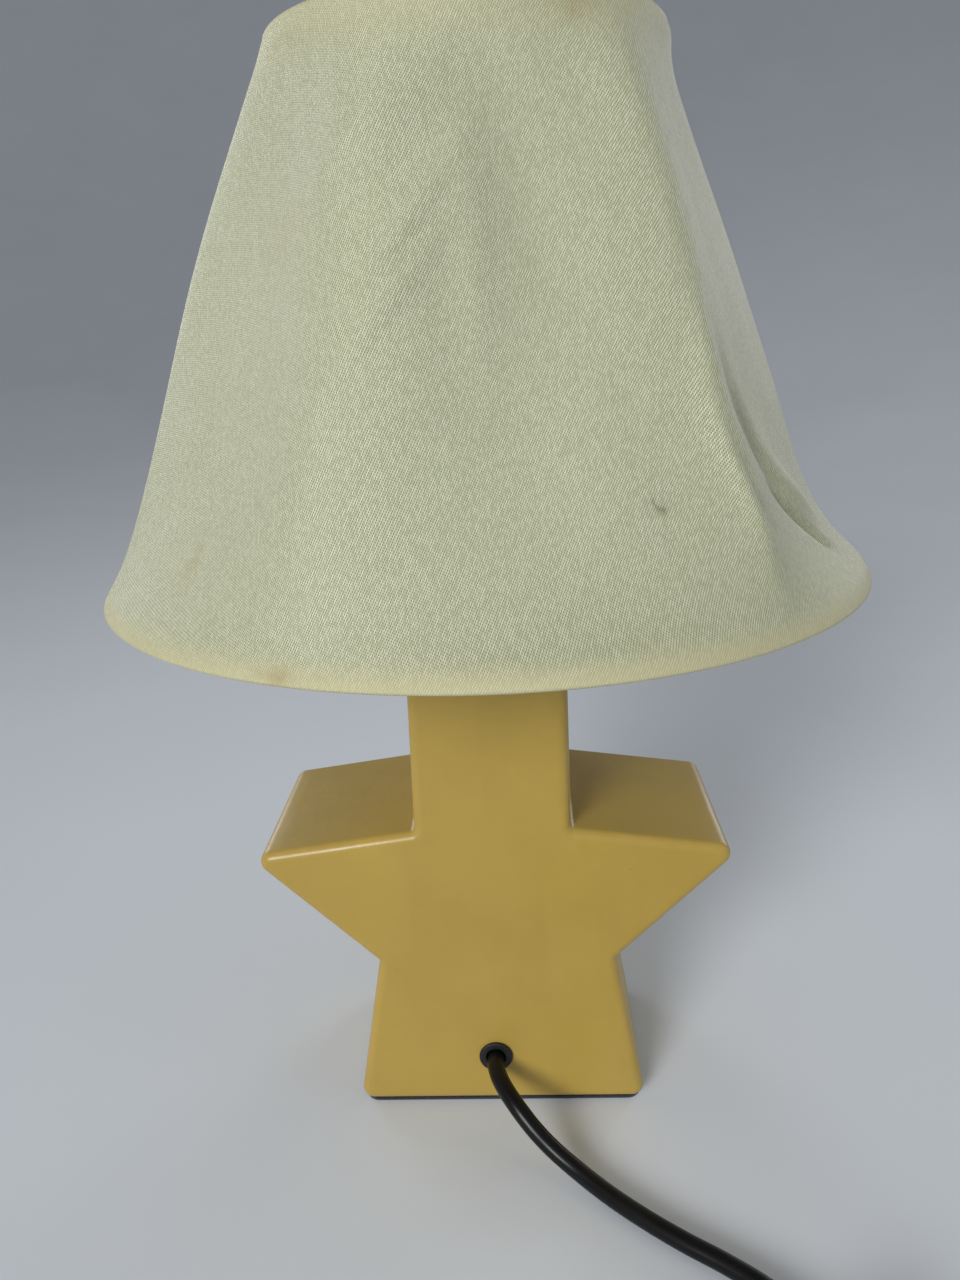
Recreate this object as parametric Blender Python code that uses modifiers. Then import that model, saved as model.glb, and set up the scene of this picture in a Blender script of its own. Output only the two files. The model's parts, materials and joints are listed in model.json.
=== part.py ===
"""Star table lamp: a hollow glazed ceramic star, a bell shade on a wire frame, an E14 lampholder
with its lamp, and a mains lead with an in-line switch, a coil and a plug.

Metres, +Z up. The origin is on the table under the middle of the base, and the lead leaves
through the face at -Y. Every driving dimension is a real size, and what fits another piece is
worked out from that piece's values and a named clearance.
"""

import math

import bmesh
import bpy
import numpy as np

# Clearances
GAP = 0.0003
CERAMIC_HOLE_CLEARANCE = 0.0005
THREAD_CLEARANCE = 0.0003
SKIRT_CLEARANCE = 0.0002
ROCKER_CLEARANCE = 0.0005

# Ceramic star, as half widths and heights of its outline
STAR_DEPTH = 0.0560
STAR_FOOT_HALF = 0.0432
STAR_WAIST_HALF = 0.0341
STAR_WAIST_Z = 0.0503
STAR_TIP_HALF = 0.0692
STAR_TIP_Z = 0.0854
STAR_SHOULDER_HALF = 0.0216
STAR_SHOULDER_Z = 0.0920
STAR_NECK_HALF = 0.0208
NECK_TOP_Z = 0.1665
CERAMIC_WALL = 0.0050
STAR_TIP_ROUND = 0.0034
STAR_FOOT_ROUND = 0.0034
STAR_INNER_ROUND = 0.0014
STAR_EDGE_ROUND = 0.0027

# Pad under the star
PAD_THICK = 0.0012
PAD_INSET = 0.0016
PAD_ROUND = 0.0040

# Lead and its way through the base
CORD_D = 0.0050
CORD_HOLE_X = -0.0015
CORD_HOLE_Z = 0.0178
GROMMET_WALL = 0.0010
GROMMET_FLANGE = 0.0008
GROMMET_LIP = 0.0008
CORD_STOP_LENGTH = 0.0050
CORD_STOP_WALL = 0.0022
INNER_LEAD_TURN_Z = 0.0480
LEAD_STRAIGHT = 0.0025

# Tube, nut, washer and plate that hold the lampholder on the neck
TUBE_D = 0.0100
TUBE_WALL = 0.0013
TUBE_STUB = 0.0040
NUT_ACROSS_FLATS = 0.0140
NUT_THICK = 0.0040
WASHER_D = 0.0240
WASHER_THICK = 0.0015
PLATE_D = 0.0330
PLATE_THICK = 0.0018

# Lampholder
HOLDER_D = 0.0276
HOLDER_WALL = 0.0016
HOLDER_STEM_D = 0.0170
HOLDER_STEM_H = 0.0075
HOLDER_CONE_H = 0.0040
HOLDER_RIM_H = 0.0058
HOLDER_SHELL_H = 0.0300
HOLDER_LIP = 0.0012
SEAT_ABOVE_SHELL = 0.0100
SEAT_D = 0.0340
SEAT_THICK = 0.0020
SCREW_SHELL_BORE = 0.0146
SCREW_SHELL_WALL = 0.0005
CONTACT_RISE = 0.0014
CONTACT_THICK = 0.0005
CONTACT_WIDTH = 0.0040
CONTACT_REACH = 0.0050
TERMINAL_APART = 0.0120
TERMINAL_WIDTH = 0.0044
TERMINAL_H = 0.0042
TERMINAL_SCREW_D = 0.0030
TERMINAL_SCREW_L = 0.0022
GRUB_D = 0.0030
CORE_D = 0.0018
CORE_APART = 0.0024

# Lamp
LAMP_LENGTH = 0.0780
LAMP_GLOBE_D = 0.0450
LAMP_GLOBE_TURN = math.radians(140)
LAMP_GLASS = 0.0008
LAMP_TIP_D = 0.0050
LAMP_TIP_H = 0.0016
LAMP_INSULATOR_H = 0.0026
LAMP_CAP_H = 0.0205
LAMP_CAP_SHEET = 0.0005
LAMP_SKIRT_D = 0.0172
LAMP_SKIRT_H = 0.0035
LAMP_STEM_H = 0.0230
LAMP_STEM_ROD_D = 0.0040
LAMP_WIRE_D = 0.0008
LAMP_WIRE_APART = 0.0030
FILAMENT_SPAN = 0.0180
FILAMENT_RISE = 0.0030

# Shade, heights measured from its lower edge
SHADE_HEIGHT = 0.1295
SHADE_TOP_R = 0.0468
SHADE_BELL_R = 0.0970
SHADE_FLARE = 0.0040
SHADE_FLARE_H = 0.0100
SHADE_SWELL = 0.0025
SHADE_DROP = 0.0385
COVER_THICK = 0.0008
RING_WIRE_D = 0.0032
RIB_WIRE_D = 0.0022
ARM_WIRE_D = 0.0026
RIBS = 6
ARMS = 3
ARM_BESIDE_RIB = math.radians(-7)
SHADE_TURN = math.radians(-49)
PANEL_FLAT = 0.95
PANEL_EASE_LOW = 0.0160
PANEL_EASE_HIGH = 0.0090
CARRIER_RIM = 0.0070
CARRIER_THICK = 0.0014
ARM_LEVEL = 0.0090

# Ring that clamps the shade on the lampholder
SHADE_RING_H = 0.0062
SHADE_RING_LIP_H = 0.0020
SHADE_RING_D = 0.0370
SHADE_RING_HUB_D = 0.0336

# In-line switch: the point on the table under its middle, and the way the lead runs through it
SWITCH_X = 0.0844
SWITCH_Y = -0.1460
LEAD_HEADING = math.radians(-75)
SWITCH_LENGTH = 0.0620
SWITCH_WIDTH = 0.0240
SWITCH_H = 0.0158
SWITCH_WALL = 0.0018
SWITCH_CORNER = 0.0090
SWITCH_EDGE = 0.0022
SWITCH_FLOAT = 0.0001
ROCKER_R = 0.0102
ROCKER_WIDTH = 0.0100
ROCKER_TILT = math.radians(7)
ROCKER_LOW = math.radians(-15)
ROCKER_HIGH = math.radians(24)
ROCKER_CROWN = 0.0029
ROCKER_KEEL = 0.0024
TRUNNION_D = 0.0024
TRUNNION_REACH = 0.0022
POST_THICK = 0.0016
POST_LENGTH = 0.0040
SWITCH_SCREW_X = -0.0190
SWITCH_SCREW_D = 0.0028
SWITCH_SCREW_HEAD_D = 0.0050
SWITCH_SCREW_HEAD_H = 0.0018
SWITCH_SCREW_L = 0.0100
BOSS_WALL = 0.0012
STRIP_THICK = 0.0006
STRIP_WIDTH = 0.0050
STRIP_LENGTH = 0.0090
STRIP_RISE = 0.0040

# Coil, its tie and the plug beside it
COIL_AFTER_SWITCH = 0.0340
COIL_INNER_R = 0.0200
COIL_LAYER_TURNS = 4.02
COIL_LAYERS = 2
COIL_CHAMFER = 0.0016
COIL_LIFT = 0.0012
COIL_MARGIN = 0.0003
TIE_WIDTH = 0.0042
TIE_THICK = 0.0005
TIE_CLEARANCE = 0.0005
TIE_ANGLE = math.radians(-72)
PLUG_AFTER_COIL = 0.0300
PLUG_WIDTH = 0.0350
PLUG_THICK = 0.0137
PLUG_LENGTH = 0.0330
PLUG_FACE_LENGTH = 0.0120
PLUG_TAIL_WIDTH = 0.0130
PLUG_EDGE = 0.0024
PLUG_CORNER = 0.0034
PIN_D = 0.0040
PIN_CORE_D = 0.0026
PIN_LENGTH = 0.0190
PIN_SLEEVE = 0.0100
PIN_APART = 0.0186
PIN_ROOT = 0.0080
BOOT_LENGTH = 0.0260
BOOT_FRONT_D = 0.0104
BOOT_BACK_D = 0.0072

# The lead's route over the table, from the grommet to the switch, points chosen by eye
LEAD_ROUTE = [
    (-0.0007, -0.0358, 0.0175),
    (0.0016, -0.0408, 0.0164),
    (0.0048, -0.0450, 0.0142),
    (0.0089, -0.0486, 0.0107),
    (0.0140, -0.0520, 0.0069),
    (0.0206, -0.0567, 0.0040),
    (0.0284, -0.0636, 0.0029),
    (0.0369, -0.0708, 0.0027),
    (0.0460, -0.0777, 0.0027),
    (0.0554, -0.0841, 0.0028),
    (0.0638, -0.0912, 0.0033),
    (0.0703, -0.0999, 0.0045),
]

# Fineness of the round shapes
FINE = 36
ROUND = 20
SMALL = 12
WIRE_SIDES = 8
CORNER_STEPS = 4
EDGE_STEPS = 2
STAR_EDGE_STEPS = 3
GLOBE_STATIONS = 8
PANEL_STEPS = 6
FLARE_STATIONS = 4
COVER_STATIONS = 6
RIB_STATIONS = 8
SEARCH_STEPS = 41
ROUTE_STEP = 0.0110
ROUTE_END = 0.0004
ROUTE_FINE = 40

# Colours as linear RGB, with roughness and metallic value
FINISHES = {
    "yellow_glaze": ((0.62, 0.36, 0.055), 0.34, 0.0),
    "black_felt": ((0.012, 0.012, 0.013), 0.92, 0.0),
    "black_rubber": ((0.010, 0.010, 0.011), 0.55, 0.0),
    "black_pvc": ((0.008, 0.008, 0.009), 0.28, 0.0),
    "black_plastic": ((0.014, 0.014, 0.015), 0.38, 0.0),
    "white_nylon": ((0.78, 0.77, 0.72), 0.45, 0.0),
    "zinc_steel": ((0.56, 0.57, 0.58), 0.34, 1.0),
    "brass": ((0.70, 0.50, 0.20), 0.30, 1.0),
    "white_holder": ((0.80, 0.79, 0.75), 0.36, 0.0),
    "porcelain": ((0.84, 0.83, 0.79), 0.25, 0.0),
    "brown_core": ((0.14, 0.050, 0.020), 0.42, 0.0),
    "blue_core": ((0.020, 0.085, 0.36), 0.42, 0.0),
    "clear_glass": ((0.95, 0.96, 0.96), 0.04, 0.0),
    "tin_cap": ((0.66, 0.66, 0.65), 0.30, 1.0),
    "solder": ((0.52, 0.53, 0.54), 0.38, 1.0),
    "tungsten": ((0.30, 0.29, 0.28), 0.42, 1.0),
    "cream_fabric": ((0.80, 0.72, 0.42), 0.82, 0.0),
    "white_wire": ((0.80, 0.79, 0.74), 0.40, 0.0),
    "nickel": ((0.68, 0.66, 0.62), 0.24, 1.0),
    "tie_paper": ((0.72, 0.71, 0.68), 0.62, 0.0),
}

# Places that several pieces share
CORD_R = CORD_D / 2
BODY_Z = PAD_THICK + GAP
STAR_FACE_Y = -STAR_DEPTH / 2
GROMMET_BORE_R = CORD_R + GAP
GROMMET_NECK_R = GROMMET_BORE_R + GROMMET_WALL
CORD_HOLE_R = GROMMET_NECK_R + GAP
GROMMET_FLANGE_R = CORD_HOLE_R + GROMMET_LIP
HOLDER_Z = NECK_TOP_Z + GAP + PLATE_THICK + GAP
HOLDER_R = HOLDER_D / 2
HOLDER_CAP_H = HOLDER_STEM_H + HOLDER_CONE_H + HOLDER_RIM_H
SHELL_Z = HOLDER_CAP_H + GAP
SEAT_Z = SHELL_Z + SEAT_ABOVE_SHELL
CARRIER_Z = SEAT_Z + SEAT_THICK + GAP
SHADE_RING_Z = CARRIER_Z + CARRIER_THICK + GAP
INSERT_R = HOLDER_R - HOLDER_WALL - GAP
INSERT_TOP_Z = SHELL_Z + HOLDER_SHELL_H - HOLDER_LIP - GAP
SCREW_SHELL_R = SCREW_SHELL_BORE / 2 + SCREW_SHELL_WALL
LAMP_CAP_R = SCREW_SHELL_BORE / 2 - THREAD_CLEARANCE
LAMP_CAP_LOW = LAMP_TIP_H + GAP + LAMP_INSULATOR_H + GAP
LAMP_SKIRT_LOW = LAMP_CAP_LOW + LAMP_CAP_H - LAMP_SKIRT_H
LAMP_FLARE_LOW = LAMP_SKIRT_LOW - (LAMP_SKIRT_D / 2 - LAMP_CAP_R)
LAMP_SEAT = GAP + CONTACT_RISE + CONTACT_THICK + GAP
INSERT_FLOOR_Z = INSERT_TOP_Z + SKIRT_CLEARANCE - LAMP_FLARE_LOW - LAMP_SEAT
LAMP_Z = HOLDER_Z + INSERT_FLOOR_Z + LAMP_SEAT
SHADE_Z = HOLDER_Z + CARRIER_Z - SHADE_DROP
CARRIER_BORE_R = HOLDER_R + THREAD_CLEARANCE
CARRIER_R = CARRIER_BORE_R + CARRIER_RIM
COVER_ACROSS = COVER_THICK / math.cos(math.atan2(SHADE_BELL_R - SHADE_TOP_R, SHADE_HEIGHT))
RING_R = RING_WIRE_D / 2
RING_ZONE = RING_WIRE_D + 2 * GAP
BOTTOM_RING_H = RING_R + GAP
TOP_RING_H = SHADE_HEIGHT - RING_R - GAP
SWITCH_SPLIT_H = SWITCH_H / 2
PIVOT_H = SWITCH_H - SWITCH_WALL - GAP - TRUNNION_D / 2
COIL_OUTER_R = COIL_INNER_R + COIL_LAYER_TURNS * CORD_D
COIL_BODY_R = COIL_OUTER_R + CORD_R + COIL_MARGIN
COIL_TOP_Z = COIL_LIFT + COIL_LAYERS * CORD_D
COIL_CLEAR = math.sqrt((COIL_BODY_R + CORD_R + GAP) ** 2 - COIL_OUTER_R ** 2)
HEADING = np.array([math.cos(LEAD_HEADING), math.sin(LEAD_HEADING)])
SWITCH_END = np.array([SWITCH_X, SWITCH_Y]) + HEADING * SWITCH_LENGTH / 2
COIL_ENTRY = SWITCH_END + HEADING * COIL_AFTER_SWITCH
COIL_CENTRE = COIL_ENTRY - COIL_OUTER_R * np.array([-HEADING[1], HEADING[0]])
PLUG_Z = PLUG_THICK / 2 + SWITCH_FLOAT
BOOT_BACK_Y = COIL_CENTRE[1] + PLUG_AFTER_COIL
PLUG_X = COIL_CENTRE[0] - COIL_OUTER_R
PLUG_FACE_Y = BOOT_BACK_Y + BOOT_LENGTH + GAP + PLUG_LENGTH


def new_collection(name):
    """A collection of its own in the scene."""
    collection = bpy.data.collections.new(name)
    bpy.context.scene.collection.children.link(collection)
    return collection


def finish(name):
    """The material of one finish, made once."""
    material = bpy.data.materials.get(name)
    if material is None:
        colour, roughness, metallic = FINISHES[name]
        material = bpy.data.materials.new(name)
        material.use_nodes = True
        shader = material.node_tree.nodes["Principled BSDF"]
        shader.inputs["Base Color"].default_value = (*colour, 1.0)
        shader.inputs["Roughness"].default_value = roughness
        shader.inputs["Metallic"].default_value = metallic
        material.diffuse_color = (*colour, 1.0)
    return material


def add(name, data, finish_name, place=(0, 0, 0), turn=(0, 0, 0), parent=None):
    """One sub-part: an object with its finish, put in the lamp's collection."""
    obj = bpy.data.objects.new(name, data)
    data.materials.clear()
    data.materials.append(finish(finish_name))
    obj.location = place
    obj.rotation_euler = turn
    obj.parent = parent
    bpy.data.collections[LAMP].objects.link(obj)
    return obj


def as_cutter(obj):
    """Moves an object to the cutters and keeps it out of the model."""
    bpy.data.collections[LAMP].objects.unlink(obj)
    bpy.data.collections[CUTTERS].objects.link(obj)
    obj.hide_render = True
    obj.display_type = "WIRE"
    return obj


def empty(name, place, turn=(0, 0, 0), parent=None):
    """An axis that pieces hang on."""
    obj = bpy.data.objects.new(name, None)
    obj.location = place
    obj.rotation_euler = turn
    obj.parent = parent
    bpy.data.collections[LAMP].objects.link(obj)
    return obj


def cut(obj, cutter, operation="DIFFERENCE"):
    """Cuts a piece with a cutter, or joins the cutter's shape to it."""
    modifier = obj.modifiers.new(cutter.name, "BOOLEAN")
    modifier.operation = operation
    modifier.object = as_cutter(cutter) if not cutter.hide_render else cutter


def soften(obj, width, steps=EDGE_STEPS, angle=50):
    """Rounds the edges sharper than an angle in degrees."""
    bevel = obj.modifiers.new("rounded edges", "BEVEL")
    bevel.width = width
    bevel.segments = steps
    bevel.limit_method = "ANGLE"
    bevel.angle_limit = math.radians(angle)
    bevel.use_clamp_overlap = False


def turned(name, profile, finish_name, steps=ROUND, **place):
    """A profile of (radius, height) points turned about Z. It runs down its outer side, and is a
    closed loop unless it starts and ends on the axis."""
    mesh = bpy.data.meshes.new(name)
    last = len(profile) - 1
    edges = [(i, i + 1) for i in range(last)]
    if profile[0][0] > 0:
        edges.append((last, 0))
    mesh.from_pydata([(r, 0, z) for r, z in profile], edges, [])
    obj = add(name, mesh, finish_name, **place)
    screw = obj.modifiers.new("turned", "SCREW")
    screw.axis = "Z"
    screw.steps = steps
    screw.render_steps = steps
    screw.use_merge_vertices = True
    screw.merge_threshold = 0.00001
    screw.use_smooth_shade = True
    return obj


def tube(name, radius, bore, low, high, finish_name, steps=ROUND, **place):
    """A plain turned tube or washer."""
    profile = [(radius, high), (radius, low), (bore, low), (bore, high)]
    return turned(name, profile, finish_name, steps, **place)


def rod(name, radius, low, high, finish_name, steps=SMALL, **place):
    """A plain turned rod or disc."""
    profile = [(0, high), (radius, high), (radius, low), (0, low)]
    return turned(name, profile, finish_name, steps, **place)


def wire(name, points, radius, finish_name, resolution=2, **place):
    """A round wire or lead along points, closed at its ends."""
    curve = bpy.data.curves.new(name, "CURVE")
    curve.dimensions = "3D"
    curve.bevel_depth = radius
    curve.bevel_resolution = resolution
    curve.use_fill_caps = True
    spline = curve.splines.new("POLY")
    spline.points.add(len(points) - 1)
    for point, place_on_route in zip(spline.points, points):
        point.co = (*place_on_route, 1.0)
    return add(name, curve, finish_name, **place)


def slab(name, outline, thickness, finish_name, **place):
    """A flat outline in the XY plane, thickened evenly to both sides and made a mesh."""
    curve = bpy.data.curves.new(name, "CURVE")
    curve.dimensions = "2D"
    curve.fill_mode = "BOTH"
    curve.extrude = thickness / 2
    spline = curve.splines.new("POLY")
    spline.points.add(len(outline) - 1)
    for point, (x, y) in zip(spline.points, outline):
        point.co = (x, y, 0.0, 1.0)
    spline.use_cyclic_u = True
    drawn = bpy.data.objects.new(name, curve)
    bpy.context.scene.collection.objects.link(drawn)
    evaluated = drawn.evaluated_get(bpy.context.evaluated_depsgraph_get())
    mesh = bpy.data.meshes.new_from_object(evaluated)
    bpy.data.objects.remove(drawn)
    bpy.data.curves.remove(curve)
    shape = bmesh.new()
    shape.from_mesh(mesh)
    bmesh.ops.remove_doubles(shape, verts=shape.verts, dist=1e-6)
    bmesh.ops.dissolve_limit(shape, angle_limit=math.radians(0.5), verts=shape.verts, edges=shape.edges)
    bmesh.ops.recalc_face_normals(shape, faces=shape.faces)
    shape.to_mesh(mesh)
    shape.free()
    mesh.name = name
    return add(name, mesh, finish_name, **place)


def block(name, size, finish_name, **place):
    """A plain block about its own middle."""
    shape = bmesh.new()
    bmesh.ops.create_cube(shape, size=1.0)
    bmesh.ops.scale(shape, vec=size, verts=shape.verts)
    mesh = bpy.data.meshes.new(name)
    shape.to_mesh(mesh)
    shape.free()
    return add(name, mesh, finish_name, **place)


def rounded(corners, rounds, steps=CORNER_STEPS):
    """An outline with each corner replaced by an arc of its own radius."""
    points = []
    for index, corner in enumerate(corners):
        here = np.array(corner)
        back = np.array(corners[index - 1]) - here
        ahead = np.array(corners[(index + 1) % len(corners)]) - here
        back /= np.linalg.norm(back)
        ahead /= np.linalg.norm(ahead)
        half = math.acos(float(np.clip(back @ ahead, -1, 1))) / 2
        middle = (back + ahead) / np.linalg.norm(back + ahead)
        centre = here + middle * rounds[index] / math.sin(half)
        first = here + back * rounds[index] / math.tan(half) - centre
        side = -middle * rounds[index]
        reach = math.pi / 2 - half
        across = first - side * math.cos(reach)
        across /= np.linalg.norm(across)
        for step in range(steps + 1):
            angle = reach * (1 - 2 * step / steps)
            arc = side * math.cos(angle) + across * rounds[index] * math.sin(angle)
            points.append(tuple(centre + arc))
    return points


def inset(corners, distance):
    """An outline moved inwards by a distance, for corners listed anticlockwise."""
    moved = []
    for index, corner in enumerate(corners):
        here = np.array(corner)
        before = here - np.array(corners[index - 1])
        after = np.array(corners[(index + 1) % len(corners)]) - here
        inward_before = np.array([-before[1], before[0]]) / np.linalg.norm(before)
        inward_after = np.array([-after[1], after[0]]) / np.linalg.norm(after)
        sides = np.array([inward_before, inward_after])
        offsets = np.array([inward_before @ here, inward_after @ here]) + distance
        moved.append(tuple(np.linalg.solve(sides, offsets)))
    return moved


def rectangle(length, width):
    """The corners of a rectangle about the origin, anticlockwise."""
    x = length / 2
    y = width / 2
    return [(x, -y), (x, y), (-x, y), (-x, -y)]


def smooth_route(points, step):
    """Points at an even step along a smooth curve through a route's points: a cubic between each
    two of them, with slopes from their neighbours. One more point by each end keeps the ends square."""
    route = np.array(points, dtype=float)
    reach = np.concatenate([[0], np.cumsum(np.linalg.norm(np.diff(route, axis=0), axis=1))])
    slopes = np.gradient(route, reach, axis=0)
    fine = np.linspace(0, reach[-1], ROUTE_FINE * len(route))
    piece = np.clip(np.searchsorted(reach, fine, side="right") - 1, 0, len(route) - 2)
    span = (reach[piece + 1] - reach[piece])[:, None]
    t = (fine - reach[piece])[:, None] / span
    curve = (
        (2 * t ** 3 - 3 * t ** 2 + 1) * route[piece]
        + (t ** 3 - 2 * t ** 2 + t) * span * slopes[piece]
        + (3 * t ** 2 - 2 * t ** 3) * route[piece + 1]
        + (t ** 3 - t ** 2) * span * slopes[piece + 1]
    )
    along = np.concatenate([[0], np.cumsum(np.linalg.norm(np.diff(curve, axis=0), axis=1))])
    even = np.linspace(0, along[-1], max(3, round(along[-1] / step)) + 1)
    even = np.concatenate([[0, ROUTE_END], even[1:-1], [along[-1] - ROUTE_END, along[-1]]])
    return np.stack([np.interp(even, along, curve[:, axis]) for axis in range(3)], axis=1)


def star_corners(bottom):
    """The star's sharp corners as (x, z), anticlockwise from the right foot, with its foot at a height."""
    foot = STAR_FOOT_HALF + (STAR_WAIST_HALF - STAR_FOOT_HALF) * bottom / STAR_WAIST_Z
    right = [
        (foot, bottom),
        (STAR_WAIST_HALF, STAR_WAIST_Z),
        (STAR_TIP_HALF, STAR_TIP_Z),
        (STAR_SHOULDER_HALF, STAR_SHOULDER_Z),
        (STAR_NECK_HALF, NECK_TOP_Z),
    ]
    return right + [(-x, z) for x, z in reversed(right)]


def star_body():
    """The hollow ceramic star, open below, with holes for the tube and the lead."""
    rounds = [STAR_FOOT_ROUND, STAR_INNER_ROUND, STAR_TIP_ROUND, STAR_INNER_ROUND, STAR_TIP_ROUND]
    outline = rounded(star_corners(BODY_Z), rounds + rounds[::-1])
    upright = (math.pi / 2, 0, 0)
    body = slab("star_body", outline, STAR_DEPTH, "yellow_glaze", turn=upright)
    soften(body, STAR_EDGE_ROUND, STAR_EDGE_STEPS)
    hollow = inset(star_corners(-2 * CERAMIC_WALL), CERAMIC_WALL)
    cut(body, slab("star_hollow", hollow, STAR_DEPTH - 2 * CERAMIC_WALL, "yellow_glaze", turn=upright))
    hole_r = TUBE_D / 2 + CERAMIC_HOLE_CLEARANCE
    reach = 2 * CERAMIC_WALL
    cut(body, rod("tube_hole", hole_r, -reach, reach, "yellow_glaze", ROUND, place=(0, 0, NECK_TOP_Z)))
    hole = rod("cord_hole", CORD_HOLE_R, -reach, reach, "yellow_glaze", ROUND)
    hole.location = (CORD_HOLE_X, STAR_FACE_Y, CORD_HOLE_Z)
    hole.rotation_euler = upright
    cut(body, hole)


def base_pad():
    """The thin pad that the star stands on."""
    corners = rectangle(2 * (STAR_FOOT_HALF - PAD_INSET), STAR_DEPTH - 2 * PAD_INSET)
    slab("base_pad", rounded(corners, [PAD_ROUND] * 4), PAD_THICK, "black_felt", place=(0, 0, PAD_THICK / 2))


def lead_entry():
    """The grommet in the lead's hole, the stop behind it, and the lead inside the base."""
    outward = (math.pi / 2, 0, 0)
    face = (CORD_HOLE_X, STAR_FACE_Y, CORD_HOLE_Z)
    inner = -CERAMIC_WALL - GAP
    profile = [
        (GROMMET_FLANGE_R - GROMMET_FLANGE / 2, GAP + GROMMET_FLANGE),
        (GROMMET_FLANGE_R, GAP + GROMMET_FLANGE / 2),
        (GROMMET_FLANGE_R, GAP),
        (GROMMET_NECK_R, GAP),
        (GROMMET_NECK_R, inner),
        (GROMMET_FLANGE_R, inner),
        (GROMMET_FLANGE_R, inner - GROMMET_FLANGE),
        (GROMMET_BORE_R, inner - GROMMET_FLANGE),
        (GROMMET_BORE_R, GAP + GROMMET_FLANGE),
    ]
    turned("cord_grommet", profile, "black_rubber", place=face, turn=outward)
    stop_end = inner - GROMMET_FLANGE - GAP
    tube(
        "cord_stop", GROMMET_BORE_R + CORD_STOP_WALL, GROMMET_BORE_R, stop_end - CORD_STOP_LENGTH, stop_end,
        "white_nylon", SMALL, place=face, turn=outward,
    )
    back = STAR_FACE_Y - stop_end + CORD_STOP_LENGTH
    route = [
        (CORD_HOLE_X, STAR_FACE_Y - GAP - GROMMET_FLANGE, CORD_HOLE_Z),
        (CORD_HOLE_X, STAR_FACE_Y - inner, CORD_HOLE_Z),
        (CORD_HOLE_X, back, CORD_HOLE_Z),
        (CORD_HOLE_X, back + LEAD_STRAIGHT, CORD_HOLE_Z),
        (0, back / 6, (CORD_HOLE_Z + INNER_LEAD_TURN_Z) / 2),
        (0, 0, INNER_LEAD_TURN_Z),
        (0, 0, (INNER_LEAD_TURN_Z + HOLDER_Z) / 2),
        (0, 0, HOLDER_Z + HOLDER_STEM_H - GAP),
    ]
    wire("inner_lead", smooth_route(route, CORD_STOP_LENGTH), CORD_R, "black_pvc")


def neck_hardware():
    """The tube through the neck, its washer and nut inside, and the plate on top."""
    tube_r = TUBE_D / 2
    bore = tube_r + THREAD_CLEARANCE
    ceiling = NECK_TOP_Z - CERAMIC_WALL
    washer_top = ceiling - GAP
    nut_top = washer_top - WASHER_THICK - GAP
    tube_low = nut_top - NUT_THICK - TUBE_STUB
    tube_high = HOLDER_Z + HOLDER_STEM_H - GAP
    tube("threaded_tube", tube_r, tube_r - TUBE_WALL, tube_low, tube_high, "zinc_steel")
    tube("tube_washer", WASHER_D / 2, bore, washer_top - WASHER_THICK, washer_top, "zinc_steel")
    across = NUT_ACROSS_FLATS / 2 / math.cos(math.pi / 6)
    corners = [(across * math.cos(a), across * math.sin(a)) for a in np.arange(6) * math.pi / 3]
    nut = slab("tube_nut", corners, NUT_THICK, "zinc_steel", place=(0, 0, nut_top - NUT_THICK / 2))
    hole = rod("nut_hole", bore, -NUT_THICK, NUT_THICK, "zinc_steel", ROUND, place=nut.location)
    cut(nut, hole)
    low = NECK_TOP_Z + GAP
    edge = PLATE_THICK / 2
    profile = [
        (PLATE_D / 2 - edge, low + PLATE_THICK),
        (PLATE_D / 2, low + PLATE_THICK - edge),
        (PLATE_D / 2, low),
        (bore, low),
        (bore, low + PLATE_THICK),
    ]
    turned("neck_plate", profile, "nickel")


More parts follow.
